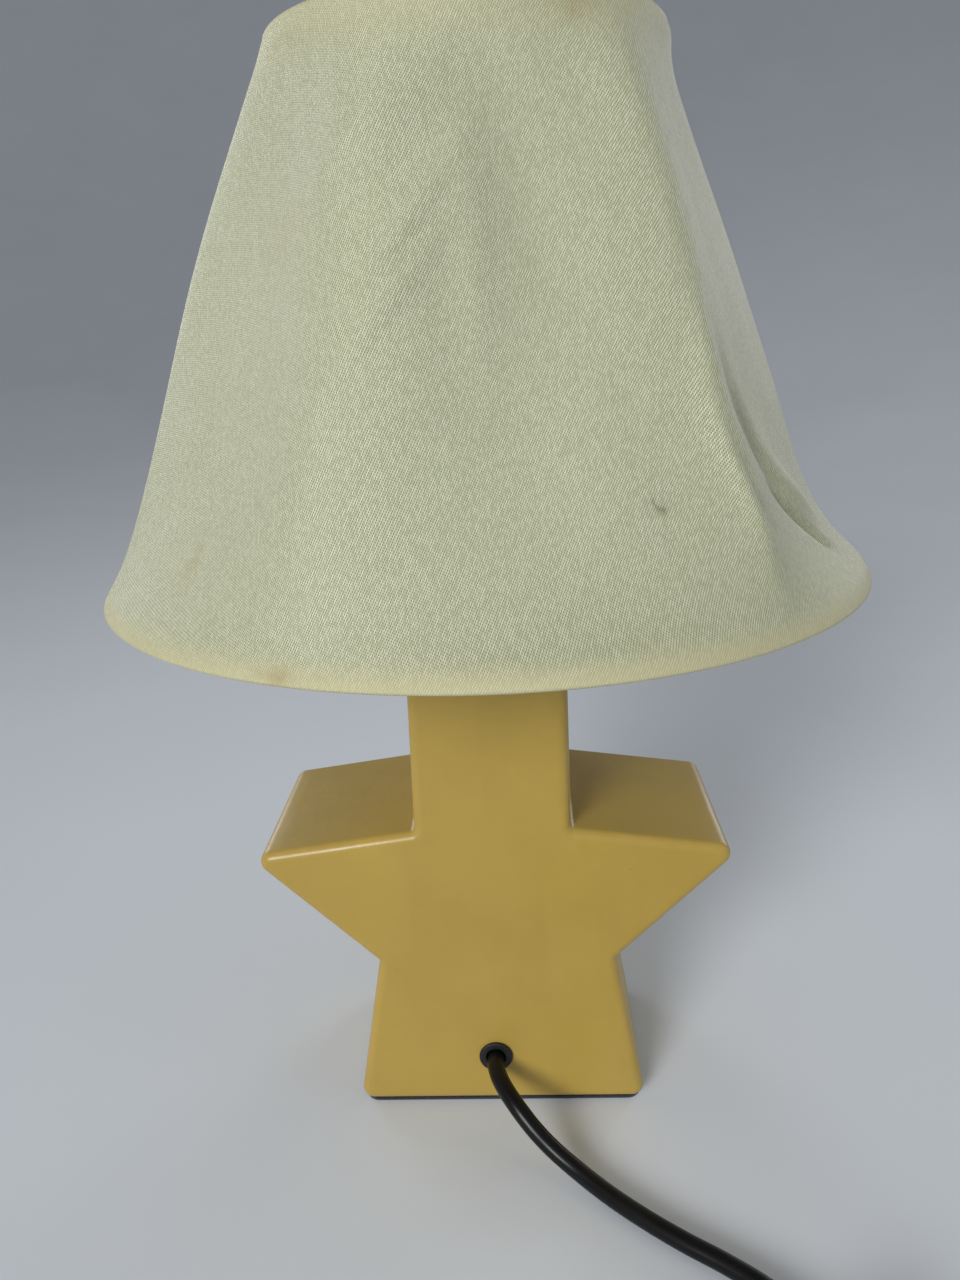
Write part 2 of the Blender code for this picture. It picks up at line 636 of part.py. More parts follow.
def lampholder():
    """The E14 lampholder: cap, grub screw, shell, insert, contacts, terminals and the lead's cores."""
    holder = empty("lampholder", (0, 0, HOLDER_Z))
    bore = TUBE_D / 2 + THREAD_CLEARANCE
    stem_r = HOLDER_STEM_D / 2
    inside = HOLDER_R - HOLDER_WALL
    cone_top = HOLDER_STEM_H + HOLDER_CONE_H
    cap_profile = [
        (HOLDER_R, HOLDER_CAP_H),
        (HOLDER_R, cone_top),
        (stem_r, HOLDER_STEM_H),
        (stem_r, 0),
        (bore, 0),
        (bore, HOLDER_STEM_H),
        (inside, cone_top),
        (inside, HOLDER_CAP_H),
    ]
    cap = turned("holder_cap", cap_profile, "white_holder", parent=holder)
    grub_place = (0, 0, HOLDER_STEM_H / 2)
    sideways = (-math.pi / 2, 0, 0)
    cut(cap, rod("grub_hole", GRUB_D / 2 + GAP, bore - GAP, HOLDER_STEM_D, "brass", place=grub_place,
                 turn=sideways, parent=holder))
    rod("holder_grub_screw", GRUB_D / 2, bore + GAP, stem_r + GAP, "brass", place=grub_place, turn=sideways,
        parent=holder)
    shell_top = SHELL_Z + HOLDER_SHELL_H
    shell_profile = [
        (HOLDER_R, shell_top),
        (HOLDER_R, SEAT_Z + SEAT_THICK),
        (SEAT_D / 2, SEAT_Z + SEAT_THICK),
        (SEAT_D / 2, SEAT_Z),
        (HOLDER_R, SEAT_Z),
        (HOLDER_R, SHELL_Z),
        (inside, SHELL_Z),
        (inside, shell_top - HOLDER_LIP),
        (inside - HOLDER_LIP, shell_top - HOLDER_LIP),
        (inside - HOLDER_LIP, shell_top),
    ]
    turned("holder_shell", shell_profile, "white_holder", parent=holder)
    insert_profile = [
        (0, INSERT_FLOOR_Z),
        (SCREW_SHELL_R + GAP, INSERT_FLOOR_Z),
        (SCREW_SHELL_R + GAP, INSERT_TOP_Z),
        (INSERT_R, INSERT_TOP_Z),
        (INSERT_R, SHELL_Z),
        (0, SHELL_Z),
    ]
    turned("holder_insert", insert_profile, "porcelain", parent=holder)
    tube("screw_shell", SCREW_SHELL_R, SCREW_SHELL_BORE / 2, INSERT_FLOOR_Z + GAP, INSERT_TOP_Z - GAP, "brass",
         parent=holder)
    low = [(-CONTACT_REACH, 0), (-CONTACT_REACH / 2, 0), (0, CONTACT_RISE), (CONTACT_REACH / 2, CONTACT_RISE / 2)]
    leaf = low + [(x, z + CONTACT_THICK) for x, z in reversed(low)]
    slab("centre_contact", leaf, CONTACT_WIDTH, "brass", place=(0, 0, INSERT_FLOOR_Z + GAP),
         turn=(math.pi / 2, 0, 0), parent=holder)
    terminal_top = SHELL_Z - GAP
    terminal_z = terminal_top - TERMINAL_H / 2
    for pole, side, colour in (("live", -1, "brown_core"), ("neutral", 1, "blue_core")):
        x = side * TERMINAL_APART / 2
        block(f"terminal_{pole}", (TERMINAL_WIDTH, TERMINAL_WIDTH, TERMINAL_H), "brass", place=(x, 0, terminal_z),
              parent=holder)
        face = TERMINAL_WIDTH / 2 + GAP
        rod(f"terminal_screw_{pole}", TERMINAL_SCREW_D / 2, face, face + TERMINAL_SCREW_L, "zinc_steel", SMALL,
            place=(x, 0, terminal_z), turn=(math.pi / 2, 0, 0), parent=holder)
        start = (side * CORE_APART / 2, 0, HOLDER_STEM_H)
        end = (x, 0, terminal_top - TERMINAL_H - GAP)
        rise = (end[2] - start[2]) / 3
        bend = [start, (start[0], 0, start[2] + rise), (end[0], 0, end[2] - rise), end]
        wire(f"core_{pole}", smooth_route(bend, CORE_D), CORE_D / 2, colour, 1, parent=holder)


def lamp_glass_profile(wall, low, neck_r):
    """The globe's side from its top to its neck, as (radius, height), a wall inside the outer face:
    a sphere to an angle past its widest, then its tangent cone down to a straight neck."""
    radius = LAMP_GLOBE_D / 2 - wall
    middle = LAMP_LENGTH - LAMP_GLOBE_D / 2
    angles = np.linspace(0, LAMP_GLOBE_TURN, GLOBE_STATIONS)
    side = [(radius * math.sin(a), middle + radius * math.cos(a)) for a in angles]
    last_r, last_z = side[-1]
    neck = neck_r - wall
    drop = (last_r - neck) * math.tan(math.pi - LAMP_GLOBE_TURN)
    return side + [(neck, last_z - drop), (neck, low)]


def lamp():
    """The lamp in the holder: glass, metal cap, insulator, contact, stem, lead wires and filament."""
    axis = empty("lamp", (0, 0, LAMP_Z))
    tip_r = LAMP_TIP_D / 2
    tip = [(0, LAMP_TIP_H), (tip_r, LAMP_TIP_H), (tip_r, LAMP_TIP_H / 2), (tip_r / 2, 0), (0, 0)]
    turned("bulb_contact", tip, "solder", SMALL, parent=axis)
    low = LAMP_TIP_H + GAP
    high = low + LAMP_INSULATOR_H
    cone = [(0, high), (LAMP_CAP_R - 2 * LAMP_CAP_SHEET, high), (tip_r + LAMP_CAP_SHEET, low), (0, low)]
    turned("bulb_insulator", cone, "black_plastic", SMALL, parent=axis)
    cap_high = LAMP_CAP_LOW + LAMP_CAP_H
    skirt_r = LAMP_SKIRT_D / 2
    cap_profile = [
        (skirt_r, cap_high),
        (skirt_r, LAMP_SKIRT_LOW),
        (LAMP_CAP_R, LAMP_FLARE_LOW),
        (LAMP_CAP_R, LAMP_CAP_LOW),
        (LAMP_CAP_R - LAMP_CAP_SHEET, LAMP_CAP_LOW),
        (LAMP_CAP_R - LAMP_CAP_SHEET, LAMP_FLARE_LOW),
        (skirt_r - LAMP_CAP_SHEET, LAMP_SKIRT_LOW),
        (skirt_r - LAMP_CAP_SHEET, cap_high),
    ]
    turned("bulb_cap", cap_profile, "tin_cap", parent=axis)
    neck_r = skirt_r - LAMP_CAP_SHEET - GAP
    glass_low = LAMP_SKIRT_LOW + GAP
    outer = lamp_glass_profile(0, glass_low, neck_r)
    inner = lamp_glass_profile(LAMP_GLASS, glass_low, neck_r)
    turned("bulb_glass", outer + inner[::-1], "clear_glass", parent=axis)
    rod_r = LAMP_STEM_ROD_D / 2
    foot_r = neck_r - 2 * LAMP_GLASS
    stem_top = glass_low + LAMP_STEM_H
    stem = [
        (0, stem_top),
        (rod_r, stem_top),
        (rod_r, glass_low + foot_r),
        (foot_r, glass_low),
        (0, glass_low),
    ]
    turned("bulb_stem", stem, "clear_glass", SMALL, parent=axis)
    middle = LAMP_LENGTH - LAMP_GLOBE_D / 2
    wire_r = LAMP_WIRE_D / 2
    for number, side in ((1, -1), (2, 1)):
        foot = (side * LAMP_WIRE_APART / 2, 0, stem_top + GAP)
        knee = (side * LAMP_WIRE_APART / 2, 0, stem_top + LAMP_WIRE_APART)
        head = (side * FILAMENT_SPAN / 2, 0, middle)
        wire(f"bulb_wire_{number}", [foot, knee, head], wire_r, "nickel", 1, parent=axis)
    level = middle + LAMP_WIRE_D + GAP
    arc = [(-FILAMENT_SPAN / 2, 0, level), (0, 0, level + FILAMENT_RISE), (FILAMENT_SPAN / 2, 0, level)]
    wire("bulb_filament", smooth_route(arc, LAMP_WIRE_APART), wire_r, "tungsten", 1, parent=axis)


def shade_radius(height):
    """The cover's outer radius at a height: a cone with a slight swell and a flared lower edge."""
    share = height / SHADE_HEIGHT
    cone = SHADE_BELL_R + (SHADE_TOP_R - SHADE_BELL_R) * share
    return cone + SHADE_SWELL * np.sin(math.pi * share) + SHADE_FLARE * np.exp(-height / SHADE_FLARE_H)


def panel_share(height):
    """How far the fabric between two ribs has drawn in to a flat panel at a height: not at all by
    the two rings, and then more and more away from them."""
    low = np.maximum(height - RING_ZONE, 0)
    high = np.maximum(SHADE_HEIGHT - RING_ZONE - height, 0)
    return PANEL_FLAT * (1 - np.exp(-low / PANEL_EASE_LOW)) * (1 - np.exp(-high / PANEL_EASE_HIGH))


def shade_cover(axis):
    """The fabric cover: round at its rings, and drawn in between the ribs towards their chords."""
    flare = np.linspace(RING_ZONE, RING_ZONE + 2 * SHADE_FLARE_H, FLARE_STATIONS)
    side = np.linspace(flare[-1], SHADE_HEIGHT - RING_ZONE, COVER_STATIONS)
    heights = np.concatenate([[0], flare, side[1:], [SHADE_HEIGHT]])
    outer = [(float(shade_radius(h)), float(h)) for h in heights]
    inner = [(r - COVER_ACROSS, h) for r, h in outer]
    drawn = turned("shade_cover_round", outer[::-1] + inner, "cream_fabric", RIBS * PANEL_STEPS)
    mesh = bpy.data.meshes.new_from_object(drawn.evaluated_get(bpy.context.evaluated_depsgraph_get()))
    bpy.data.objects.remove(drawn)
    mesh.name = "shade_cover"
    points = np.empty(3 * len(mesh.vertices))
    mesh.vertices.foreach_get("co", points)
    points = points.reshape(-1, 3)
    half = math.pi / RIBS
    off_middle = np.mod(np.arctan2(points[:, 1], points[:, 0]), 2 * half) - half
    chord = math.cos(half) / np.cos(off_middle)
    points[:, :2] *= (1 - panel_share(points[:, 2]) * (1 - chord))[:, None]
    mesh.vertices.foreach_set("co", points.ravel())
    mesh.update()
    add("shade_cover", mesh, "cream_fabric", parent=axis)


def wire_radius(height, wire_r):
    """The largest radius at a height for the middle of a wire that stays a gap inside the cover."""
    need = wire_r + GAP
    near = np.clip(height + np.linspace(-need, need, SEARCH_STEPS), 0, SHADE_HEIGHT)
    inner = shade_radius(near) - COVER_ACROSS
    return float(np.min(inner - np.sqrt(np.maximum(need ** 2 - (near - height) ** 2, 0))))


def around(angle, radius, height):
    """A point at an angle, radius and height about Z."""
    return (radius * math.cos(angle), radius * math.sin(angle), height)


def shade():
    """The shade: fabric cover, rings, ribs, carrier ring and its arms, turning about the holder."""
    axis = empty("shade", (0, 0, SHADE_Z), (0, 0, SHADE_TURN))
    shade_cover(axis)
    circle = np.arange(WIRE_SIDES) * 2 * math.pi / WIRE_SIDES
    ring_places = {}
    for name, height in (("shade_bottom_ring", BOTTOM_RING_H), ("shade_top_ring", TOP_RING_H)):
        middle = wire_radius(height, RING_R)
        section = [(middle + RING_R * math.cos(a), height - RING_R * math.sin(a)) for a in circle]
        turned(name, section, "white_wire", RIBS * PANEL_STEPS, parent=axis)
        ring_places[name] = middle
    rib_r = RIB_WIRE_D / 2
    rib_low = BOTTOM_RING_H + RING_R + rib_r + GAP
    rib_high = TOP_RING_H - RING_R - rib_r - GAP
    rib_heights = np.linspace(rib_low, rib_high, RIB_STATIONS)
    rib_room = (rib_r + GAP) / math.cos(PANEL_FLAT * math.pi / RIBS) - GAP
    for number in range(RIBS):
        angle = number * 2 * math.pi / RIBS
        points = [around(angle, wire_radius(h, rib_room), h) for h in rib_heights]
        wire(f"shade_rib_{number + 1}", points, rib_r, "white_wire", 1, parent=axis)
    low = SHADE_DROP
    tube("carrier_ring", CARRIER_R, CARRIER_BORE_R, low, low + CARRIER_THICK, "white_wire", FINE, parent=axis)
    arm_r = ARM_WIRE_D / 2
    ring_inner = ring_places["shade_bottom_ring"] - RING_R - arm_r - GAP
    arm_top = low + CARRIER_THICK / 2
    arm_end = CARRIER_R + GAP
    for number in range(ARMS):
        angle = ARM_BESIDE_RIB + number * 2 * math.pi / ARMS
        bend = [
            (ring_inner, BOTTOM_RING_H + arm_r),
            (arm_end + 2 * ARM_LEVEL, arm_top - ARM_LEVEL / 3),
            (arm_end + ARM_LEVEL, arm_top),
            (arm_end, arm_top),
        ]
        points = [around(angle, r, h) for r, h in bend]
        wire(f"carrier_arm_{number + 1}", points, arm_r, "white_wire", 1, parent=axis)


def shade_ring():
    """The ring that screws on the lampholder's shell and clamps the shade's carrier."""
    low = HOLDER_Z + SHADE_RING_Z
    bore = HOLDER_R + THREAD_CLEARANCE
    profile = [
        (SHADE_RING_HUB_D / 2, SHADE_RING_H),
        (SHADE_RING_HUB_D / 2, SHADE_RING_LIP_H),
        (SHADE_RING_D / 2, SHADE_RING_LIP_H),
        (SHADE_RING_D / 2, 0),
        (bore, 0),
        (bore, SHADE_RING_H),
    ]
    turned("shade_ring", profile, "white_holder", place=(0, 0, low))


def switch_case(name, switch, drop_above):
    """One half of the switch case, with the hollow and the lead's way in at both ends."""
    outline = rounded(rectangle(SWITCH_LENGTH, SWITCH_WIDTH), [SWITCH_CORNER] * 4)
    middle = (0, 0, SWITCH_H / 2)
    case = slab(name, outline, SWITCH_H, "black_plastic", place=middle, parent=switch)
    soften(case, SWITCH_EDGE)
    side = 1 if drop_above else -1
    other = block(name + "_other_half", (2 * SWITCH_LENGTH, 2 * SWITCH_WIDTH, SWITCH_H), "black_plastic",
                  place=(0, 0, SWITCH_SPLIT_H + side * (SWITCH_H - GAP) / 2), parent=switch)
    cut(case, other)
    hollow = inset(rectangle(SWITCH_LENGTH, SWITCH_WIDTH), SWITCH_WALL)
    hollow_outline = rounded(hollow, [SWITCH_CORNER - SWITCH_WALL] * 4)
    cut(case, slab(name + "_hollow", hollow_outline, SWITCH_H - 2 * SWITCH_WALL, "black_plastic", place=middle,
                   parent=switch))
    return case


def switch_bore(switch, name):
    """A cutter for the lead's way through both ends of the case."""
    return rod(name, GROMMET_BORE_R, -SWITCH_LENGTH, SWITCH_LENGTH, "black_plastic", ROUND,
               place=(0, 0, SWITCH_SPLIT_H), turn=(0, math.pi / 2, 0), parent=switch)


def in_line_switch():
    """The switch on the lead: two half cases, rocker, screw and contacts."""
    switch = empty("switch", (SWITCH_X, SWITCH_Y, SWITCH_FLOAT), (0, 0, LEAD_HEADING))
    screw_r = SWITCH_SCREW_D / 2
    boss_r = SWITCH_SCREW_HEAD_D / 2 + GAP + BOSS_WALL
    boss_place = (SWITCH_SCREW_X, 0, 0)
    lower = switch_case("switch_lower_case", switch, True)
    cut(lower, switch_bore(switch, "lower_bore"))
    cut(lower, rod("lower_boss", boss_r, SWITCH_WALL / 2, SWITCH_SPLIT_H - GAP / 2, "black_plastic",
                   place=boss_place, parent=switch), "UNION")
    post_top = PIVOT_H - TRUNNION_D / 2 - GAP
    post_y = ROCKER_WIDTH / 2 + GAP + TRUNNION_REACH / 2
    for number, side in ((1, -1), (2, 1)):
        post_h = post_top - SWITCH_WALL / 2
        cut(lower, block(f"rocker_post_{number}", (POST_LENGTH, POST_THICK, post_h), "black_plastic",
                         place=(0, side * post_y, SWITCH_WALL / 2 + post_h / 2), parent=switch), "UNION")
    head_r = SWITCH_SCREW_HEAD_D / 2
    head_top = GAP + SWITCH_SCREW_HEAD_H
    recess = [
        (0, SWITCH_H),
        (screw_r + GAP, SWITCH_H),
        (screw_r + GAP, head_top + GAP),
        (head_r + GAP, head_top + GAP),
        (head_r + GAP, -SWITCH_WALL),
        (0, -SWITCH_WALL),
    ]
    cut(lower, turned("lower_screw_hole", recess, "black_plastic", SMALL, place=boss_place, parent=switch))
    screw = [
        (0, head_top + SWITCH_SCREW_L),
        (screw_r, head_top + SWITCH_SCREW_L),
        (screw_r, head_top),
        (head_r, head_top),
        (head_r, GAP),
        (0, GAP),
    ]
    turned("switch_screw", screw, "zinc_steel", SMALL, place=boss_place, parent=switch)
    upper = switch_case("switch_upper_case", switch, False)
    cut(upper, switch_bore(switch, "upper_bore"))
    cut(upper, rod("upper_boss", boss_r, SWITCH_SPLIT_H + GAP / 2, SWITCH_H - SWITCH_WALL / 2, "black_plastic",
                   place=boss_place, parent=switch), "UNION")
    cut(upper, rod("upper_screw_hole", screw_r + GAP, 0, head_top + SWITCH_SCREW_L + GAP, "black_plastic",
                   place=boss_place, parent=switch))
    slot = (2 * (ROCKER_R + ROCKER_CLEARANCE), ROCKER_WIDTH + 2 * ROCKER_CLEARANCE, SWITCH_SPLIT_H)
    cut(upper, block("rocker_slot", slot, "black_plastic", place=(0, 0, SWITCH_H), parent=switch))
    strip_z = SWITCH_WALL + GAP + STRIP_THICK / 2
    strip_x = ROCKER_R - STRIP_LENGTH / 2
    slab("switch_contact_fixed", rounded(rectangle(STRIP_LENGTH, STRIP_WIDTH), [STRIP_THICK] * 4, 2), STRIP_THICK,
         "brass", place=(strip_x, 0, strip_z), parent=switch)
    low = [(0, 0), (STRIP_LENGTH / 3, 0), (2 * STRIP_LENGTH / 3, STRIP_RISE), (STRIP_LENGTH, STRIP_RISE)]
    spring = low + [(x, z + STRIP_THICK) for x, z in reversed(low)]
    slab("switch_contact_spring", spring, STRIP_WIDTH, "brass", place=(-ROCKER_R, 0, SWITCH_WALL + GAP),
         turn=(math.pi / 2, 0, 0), parent=switch)
    rocker_on(switch)


def rocker_on(switch):
    """The rocker, its ends round about its axis so that they pass the slot at any tilt."""
    pivot = empty("rocker_axis", (0, 0, PIVOT_H), (0, ROCKER_TILT, 0), switch)
    angles = np.linspace(ROCKER_LOW, ROCKER_HIGH, 5)
    right = [(ROCKER_R * math.cos(a), ROCKER_R * math.sin(a)) for a in angles]
    left = [(-x, z) for x, z in reversed(right)]
    profile = right + [(0, ROCKER_CROWN)] + left + [(0, -ROCKER_KEEL)]
    rocker = slab("switch_rocker", profile, ROCKER_WIDTH, "black_plastic", turn=(math.pi / 2, 0, 0), parent=pivot)
    reach = ROCKER_WIDTH / 2 + TRUNNION_REACH
    cut(rocker, rod("trunnions", TRUNNION_D / 2, -reach, reach, "black_plastic", turn=(math.pi / 2, 0, 0),
                    parent=pivot), "UNION")


def lead_and_coil():
    """The lead on the table: to the switch, on to the coil, and from the coil to the plug."""
    exit_point = (CORD_HOLE_X, STAR_FACE_Y - 2 * GAP - GROMMET_FLANGE, CORD_HOLE_Z)
    level = SWITCH_FLOAT + SWITCH_SPLIT_H
    inside = SWITCH_LENGTH / 2 - 2 * SWITCH_WALL
    way_in = np.array([SWITCH_X, SWITCH_Y]) - HEADING * inside
    straight = (exit_point[0], exit_point[1] - LEAD_STRAIGHT, exit_point[2])
    mouth = np.array([SWITCH_X, SWITCH_Y]) - HEADING * (SWITCH_LENGTH / 2 + LEAD_STRAIGHT)
    route = [exit_point, straight] + LEAD_ROUTE + [(*mouth, level), (*way_in, level)]
    wire("cord_lead", smooth_route(route, ROUTE_STEP), CORD_R, "black_pvc")
    first_z = COIL_LIFT + CORD_R
    way_out = np.array([SWITCH_X, SWITCH_Y]) + HEADING * inside
    link_end = COIL_ENTRY - HEADING * COIL_CLEAR
    link = [(*way_out, level), (*SWITCH_END, level), (*link_end, (level + first_z) / 2)]
    wire("cord_link", smooth_route(link, CORD_D), CORD_R, "black_pvc")
    low = COIL_LIFT
    inner = COIL_INNER_R - CORD_R - COIL_MARGIN
    ring = [
        (COIL_BODY_R, COIL_TOP_Z - COIL_CHAMFER),
        (COIL_BODY_R, low + COIL_CHAMFER),
        (COIL_BODY_R - COIL_CHAMFER, low),
        (inner + COIL_CHAMFER, low),
        (inner, low + COIL_CHAMFER),
        (inner, COIL_TOP_Z - COIL_CHAMFER),
        (inner + COIL_CHAMFER, COIL_TOP_Z),
        (COIL_BODY_R - COIL_CHAMFER, COIL_TOP_Z),
    ]
    turned("cord_coil", ring, "black_pvc", FINE, place=(*COIL_CENTRE, 0))
    hole = (COIL_BODY_R - inner + 2 * TIE_CLEARANCE, COIL_TOP_Z - low + 2 * TIE_CLEARANCE)
    middle_r = (COIL_BODY_R + inner) / 2
    tie_place = around(TIE_ANGLE, middle_r, (COIL_TOP_Z + low) / 2)
    tie_place = (COIL_CENTRE[0] + tie_place[0], COIL_CENTRE[1] + tie_place[1], tie_place[2])
    tie_turn = (math.pi / 2, 0, TIE_ANGLE)
    tie = slab("coil_tie", rectangle(hole[0] + 2 * TIE_THICK, hole[1] + 2 * TIE_THICK), TIE_WIDTH, "tie_paper",
               place=tie_place, turn=tie_turn)
    cut(tie, slab("tie_hole", rectangle(*hole), 2 * TIE_WIDTH, "tie_paper", place=tie_place, turn=tie_turn))
    tail_start = COIL_CENTRE[1] + COIL_CLEAR
    tail = [
        (PLUG_X, tail_start, PLUG_Z),
        (PLUG_X, BOOT_BACK_Y, PLUG_Z),
        (PLUG_X, BOOT_BACK_Y + BOOT_LENGTH, PLUG_Z),
    ]
    wire("cord_tail", smooth_route(tail, CORD_D), CORD_R, "black_pvc")


def plug():
    """The flat two-pin plug with its boot, sleeved pins pointing along +Y."""
    axis = empty("plug", (PLUG_X, PLUG_FACE_Y, PLUG_Z), (0, 0, math.pi / 2))
    half = PLUG_WIDTH / 2
    tail = PLUG_TAIL_WIDTH / 2
    corners = [
        (0, -half),
        (0, half),
        (-PLUG_FACE_LENGTH, half),
        (-PLUG_LENGTH, tail),
        (-PLUG_LENGTH, -tail),
        (-PLUG_FACE_LENGTH, -half),
    ]
    body = slab("plug_body", rounded(corners, [PLUG_CORNER] * 6), PLUG_THICK, "black_plastic", parent=axis)
    soften(body, PLUG_EDGE)
    forward = (0, math.pi / 2, 0)
    core_r = PIN_CORE_D / 2
    pin_r = PIN_D / 2
    for number, side in ((1, -1), (2, 1)):
        place = {"place": (0, side * PIN_APART / 2, 0), "turn": forward, "parent": axis}
        cut(body, rod(f"pin_hole_{number}", pin_r + GAP, -PIN_ROOT - GAP, PIN_ROOT, "black_plastic", **place))
        pin = [
            (0, PIN_LENGTH),
            (pin_r / 2, PIN_LENGTH),
            (pin_r, PIN_LENGTH - pin_r / 2),
            (pin_r, PIN_SLEEVE + GAP),
            (core_r, PIN_SLEEVE + GAP),
            (core_r, -PIN_ROOT),
            (0, -PIN_ROOT),
        ]
        turned(f"plug_pin_{number}", pin, "nickel", SMALL, **place)
        tube(f"plug_sleeve_{number}", pin_r, core_r + GAP, -PIN_ROOT, PIN_SLEEVE, "black_plastic", SMALL, **place)
    front = -PLUG_LENGTH - GAP
    boot = [
        (BOOT_FRONT_D / 2, front),
        (BOOT_BACK_D / 2, front - BOOT_LENGTH),
        (GROMMET_BORE_R, front - BOOT_LENGTH),
        (GROMMET_BORE_R, front),
    ]
    turned("plug_boot", boot, "black_rubber", parent=axis, turn=forward)


LAMP = "star_table_lamp"
CUTTERS = "cutters"


def main():
    for obj in list(bpy.data.objects):
        bpy.data.objects.remove(obj, do_unlink=True)
    new_collection(LAMP)
    new_collection(CUTTERS)
    star_body()
    base_pad()
    lead_entry()
    neck_hardware()
    lampholder()
    lamp()
    shade()
    shade_ring()
    in_line_switch()
    lead_and_coil()
    plug()


if __name__ == "__main__":
    main()
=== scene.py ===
"""Star table lamp, dressed: glazed ceramic star, panelled fabric shade on its wire frame, lampholder
and lamp, and the mains lead with its switch, coil and plug. Metres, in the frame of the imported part."""

import json
import math
from collections import namedtuple

import bpy
import numpy as np
from mathutils import Matrix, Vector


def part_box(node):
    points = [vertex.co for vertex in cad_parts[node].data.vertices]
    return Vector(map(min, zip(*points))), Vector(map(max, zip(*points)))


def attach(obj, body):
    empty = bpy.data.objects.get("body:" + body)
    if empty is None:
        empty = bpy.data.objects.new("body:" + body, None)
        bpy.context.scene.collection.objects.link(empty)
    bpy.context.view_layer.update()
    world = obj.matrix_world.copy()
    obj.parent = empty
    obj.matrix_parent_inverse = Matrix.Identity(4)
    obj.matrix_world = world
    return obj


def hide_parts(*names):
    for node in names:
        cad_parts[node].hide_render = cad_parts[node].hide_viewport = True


bl_info = {
    "name": "Star table lamp",
    "version": (1, 0, 0),
    "blender": (4, 5, 0),
    "location": "View3D > Sidebar > Lamp",
    "description": "Dresses the packed table lamp with its finished surfaces and materials",
    "category": "Object",
}

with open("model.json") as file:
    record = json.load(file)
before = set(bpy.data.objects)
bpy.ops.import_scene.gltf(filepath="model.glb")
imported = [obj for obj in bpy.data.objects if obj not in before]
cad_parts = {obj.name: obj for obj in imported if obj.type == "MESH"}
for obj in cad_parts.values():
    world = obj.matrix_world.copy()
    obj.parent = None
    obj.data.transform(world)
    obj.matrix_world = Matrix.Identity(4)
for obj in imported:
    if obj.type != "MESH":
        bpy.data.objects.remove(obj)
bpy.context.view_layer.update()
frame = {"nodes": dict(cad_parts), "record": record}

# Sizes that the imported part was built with
GAP = 0.0003
LEAD_ROOM_R = 0.0028
TUBE_ROOM_R = 0.0053
STAR_DEPTH = 0.0560
STAR_CORNERS = [(0.0432, 0.0), (0.0341, 0.0503), (0.0692, 0.0854), (0.0216, 0.0920), (0.0208, 0.1665)]
STAR_ROUNDS = [0.0034, 0.0014, 0.0034, 0.0014, 0.0034]
CERAMIC_WALL = 0.0050
BODY_Z = 0.0015
NECK_TOP_Z = 0.1665
PAD_INSET = 0.0016
TUBE_HOLE_R = 0.0055
CORD_HOLE_R = 0.0041
CORD_HOLE = (-0.0015, -0.0280, 0.0178)
HOLDER_Z = 0.1689
HOLDER_R = 0.0138
HOLDER_BORE_R = 0.0122
STEM_R = 0.0085
SEAT_R = 0.0170
SHELL_Z = HOLDER_Z + 0.0176
LAMP_Z = 0.1950
LAMP_HEIGHT = 0.0780
LAMP_PITCH = 0.00282
GLOBE_R = 0.0225
SHADE_Z = 0.1603
SHADE_HEIGHT = 0.1295
SHADE_TOP_R = 0.0468
SHADE_BELL_R = 0.0970
SHADE_FLARE = 0.0040
SHADE_FLARE_H = 0.0100
SHADE_SWELL = 0.0025
SHADE_SLOPE = math.atan2(SHADE_BELL_R - SHADE_TOP_R, SHADE_HEIGHT)
SHADE_TURN = math.radians(-49)
SHADE_SEAM = math.radians(71)
SHADE_SOFT_RIB = math.radians(-109)
RIBS = 6
PANEL_FLATNESS = 0.95
PANEL_EASE_LOW = 0.0160
PANEL_EASE_HIGH = 0.0090
RING_ZONE = 0.0038
COVER_ACROSS = 0.00086
RING_R = 0.0016
RIB_R = 0.0011
ARM_R = 0.0013
ARM_BESIDE_RIB = math.radians(-7)
CARRIER_H = 0.0385
CARRIER_OUTER_R = 0.0211
CARRIER_INNER_R = 0.0141
CARRIER_ACROSS = 0.0014
ARMS = 3
SWITCH_PLACE = (0.0844, -0.1460, 0.0001)
LEAD_HEADING = math.radians(-75)
SWITCH_SIZE = (0.0620, 0.0240, 0.0158)
SWITCH_SPLIT = 0.0079
SWITCH_WALL = 0.0018
SWITCH_SLOT = (0.0107, 0.0055)
ROCKER_R = 0.0102
PIVOT_H = 0.0125
COIL_CENTRE = (0.06249, -0.21916)
COIL_OUTER_R = 0.0401
COIL_INNER_R = 0.0200
COIL_LOW_Z = 0.0037
TIE_TURN = math.radians(-72)
PLUG_PLACE = (0.02239, -0.129864, 0.00695)
PLUG_LENGTH = 0.0330
PIN_ASIDE = 0.0093
PIN_R = 0.0020
PIN_TIP = 0.0190
PIN_ROOT = -0.0080
BOOT_LENGTH = 0.0260
BOOT_BACK_Y = -0.18916

# Sizes of the finished surfaces alone: a turned shape's radius at its axis, the fabric turned in behind
# each ring, and the turns of the coil
AXIS_R = 0.00005
COIL_LAYER = 0.0050
COIL_TURNS = 8.54
COIL_START = math.radians(15)
COIL_END = math.radians(-3060)

# The lead's route from the grommet to the switch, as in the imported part
LEAD_ROUTE = [
    (-0.0015, -0.0294, 0.0178),
    (-0.0015, -0.0319, 0.0178),
    (-0.0007, -0.0358, 0.0175),
    (0.0016, -0.0408, 0.0164),
    (0.0048, -0.0450, 0.0142),
    (0.0089, -0.0486, 0.0107),
    (0.0140, -0.0520, 0.0069),
    (0.0206, -0.0567, 0.0040),
    (0.0284, -0.0636, 0.0029),
    (0.0369, -0.0708, 0.0027),
    (0.0460, -0.0777, 0.0027),
    (0.0554, -0.0841, 0.0028),
    (0.0638, -0.0912, 0.0033),
    (0.0703, -0.0999, 0.0045),
    (0.07573, -0.11364, 0.0080),
    (0.07731, -0.11953, 0.0080),
]

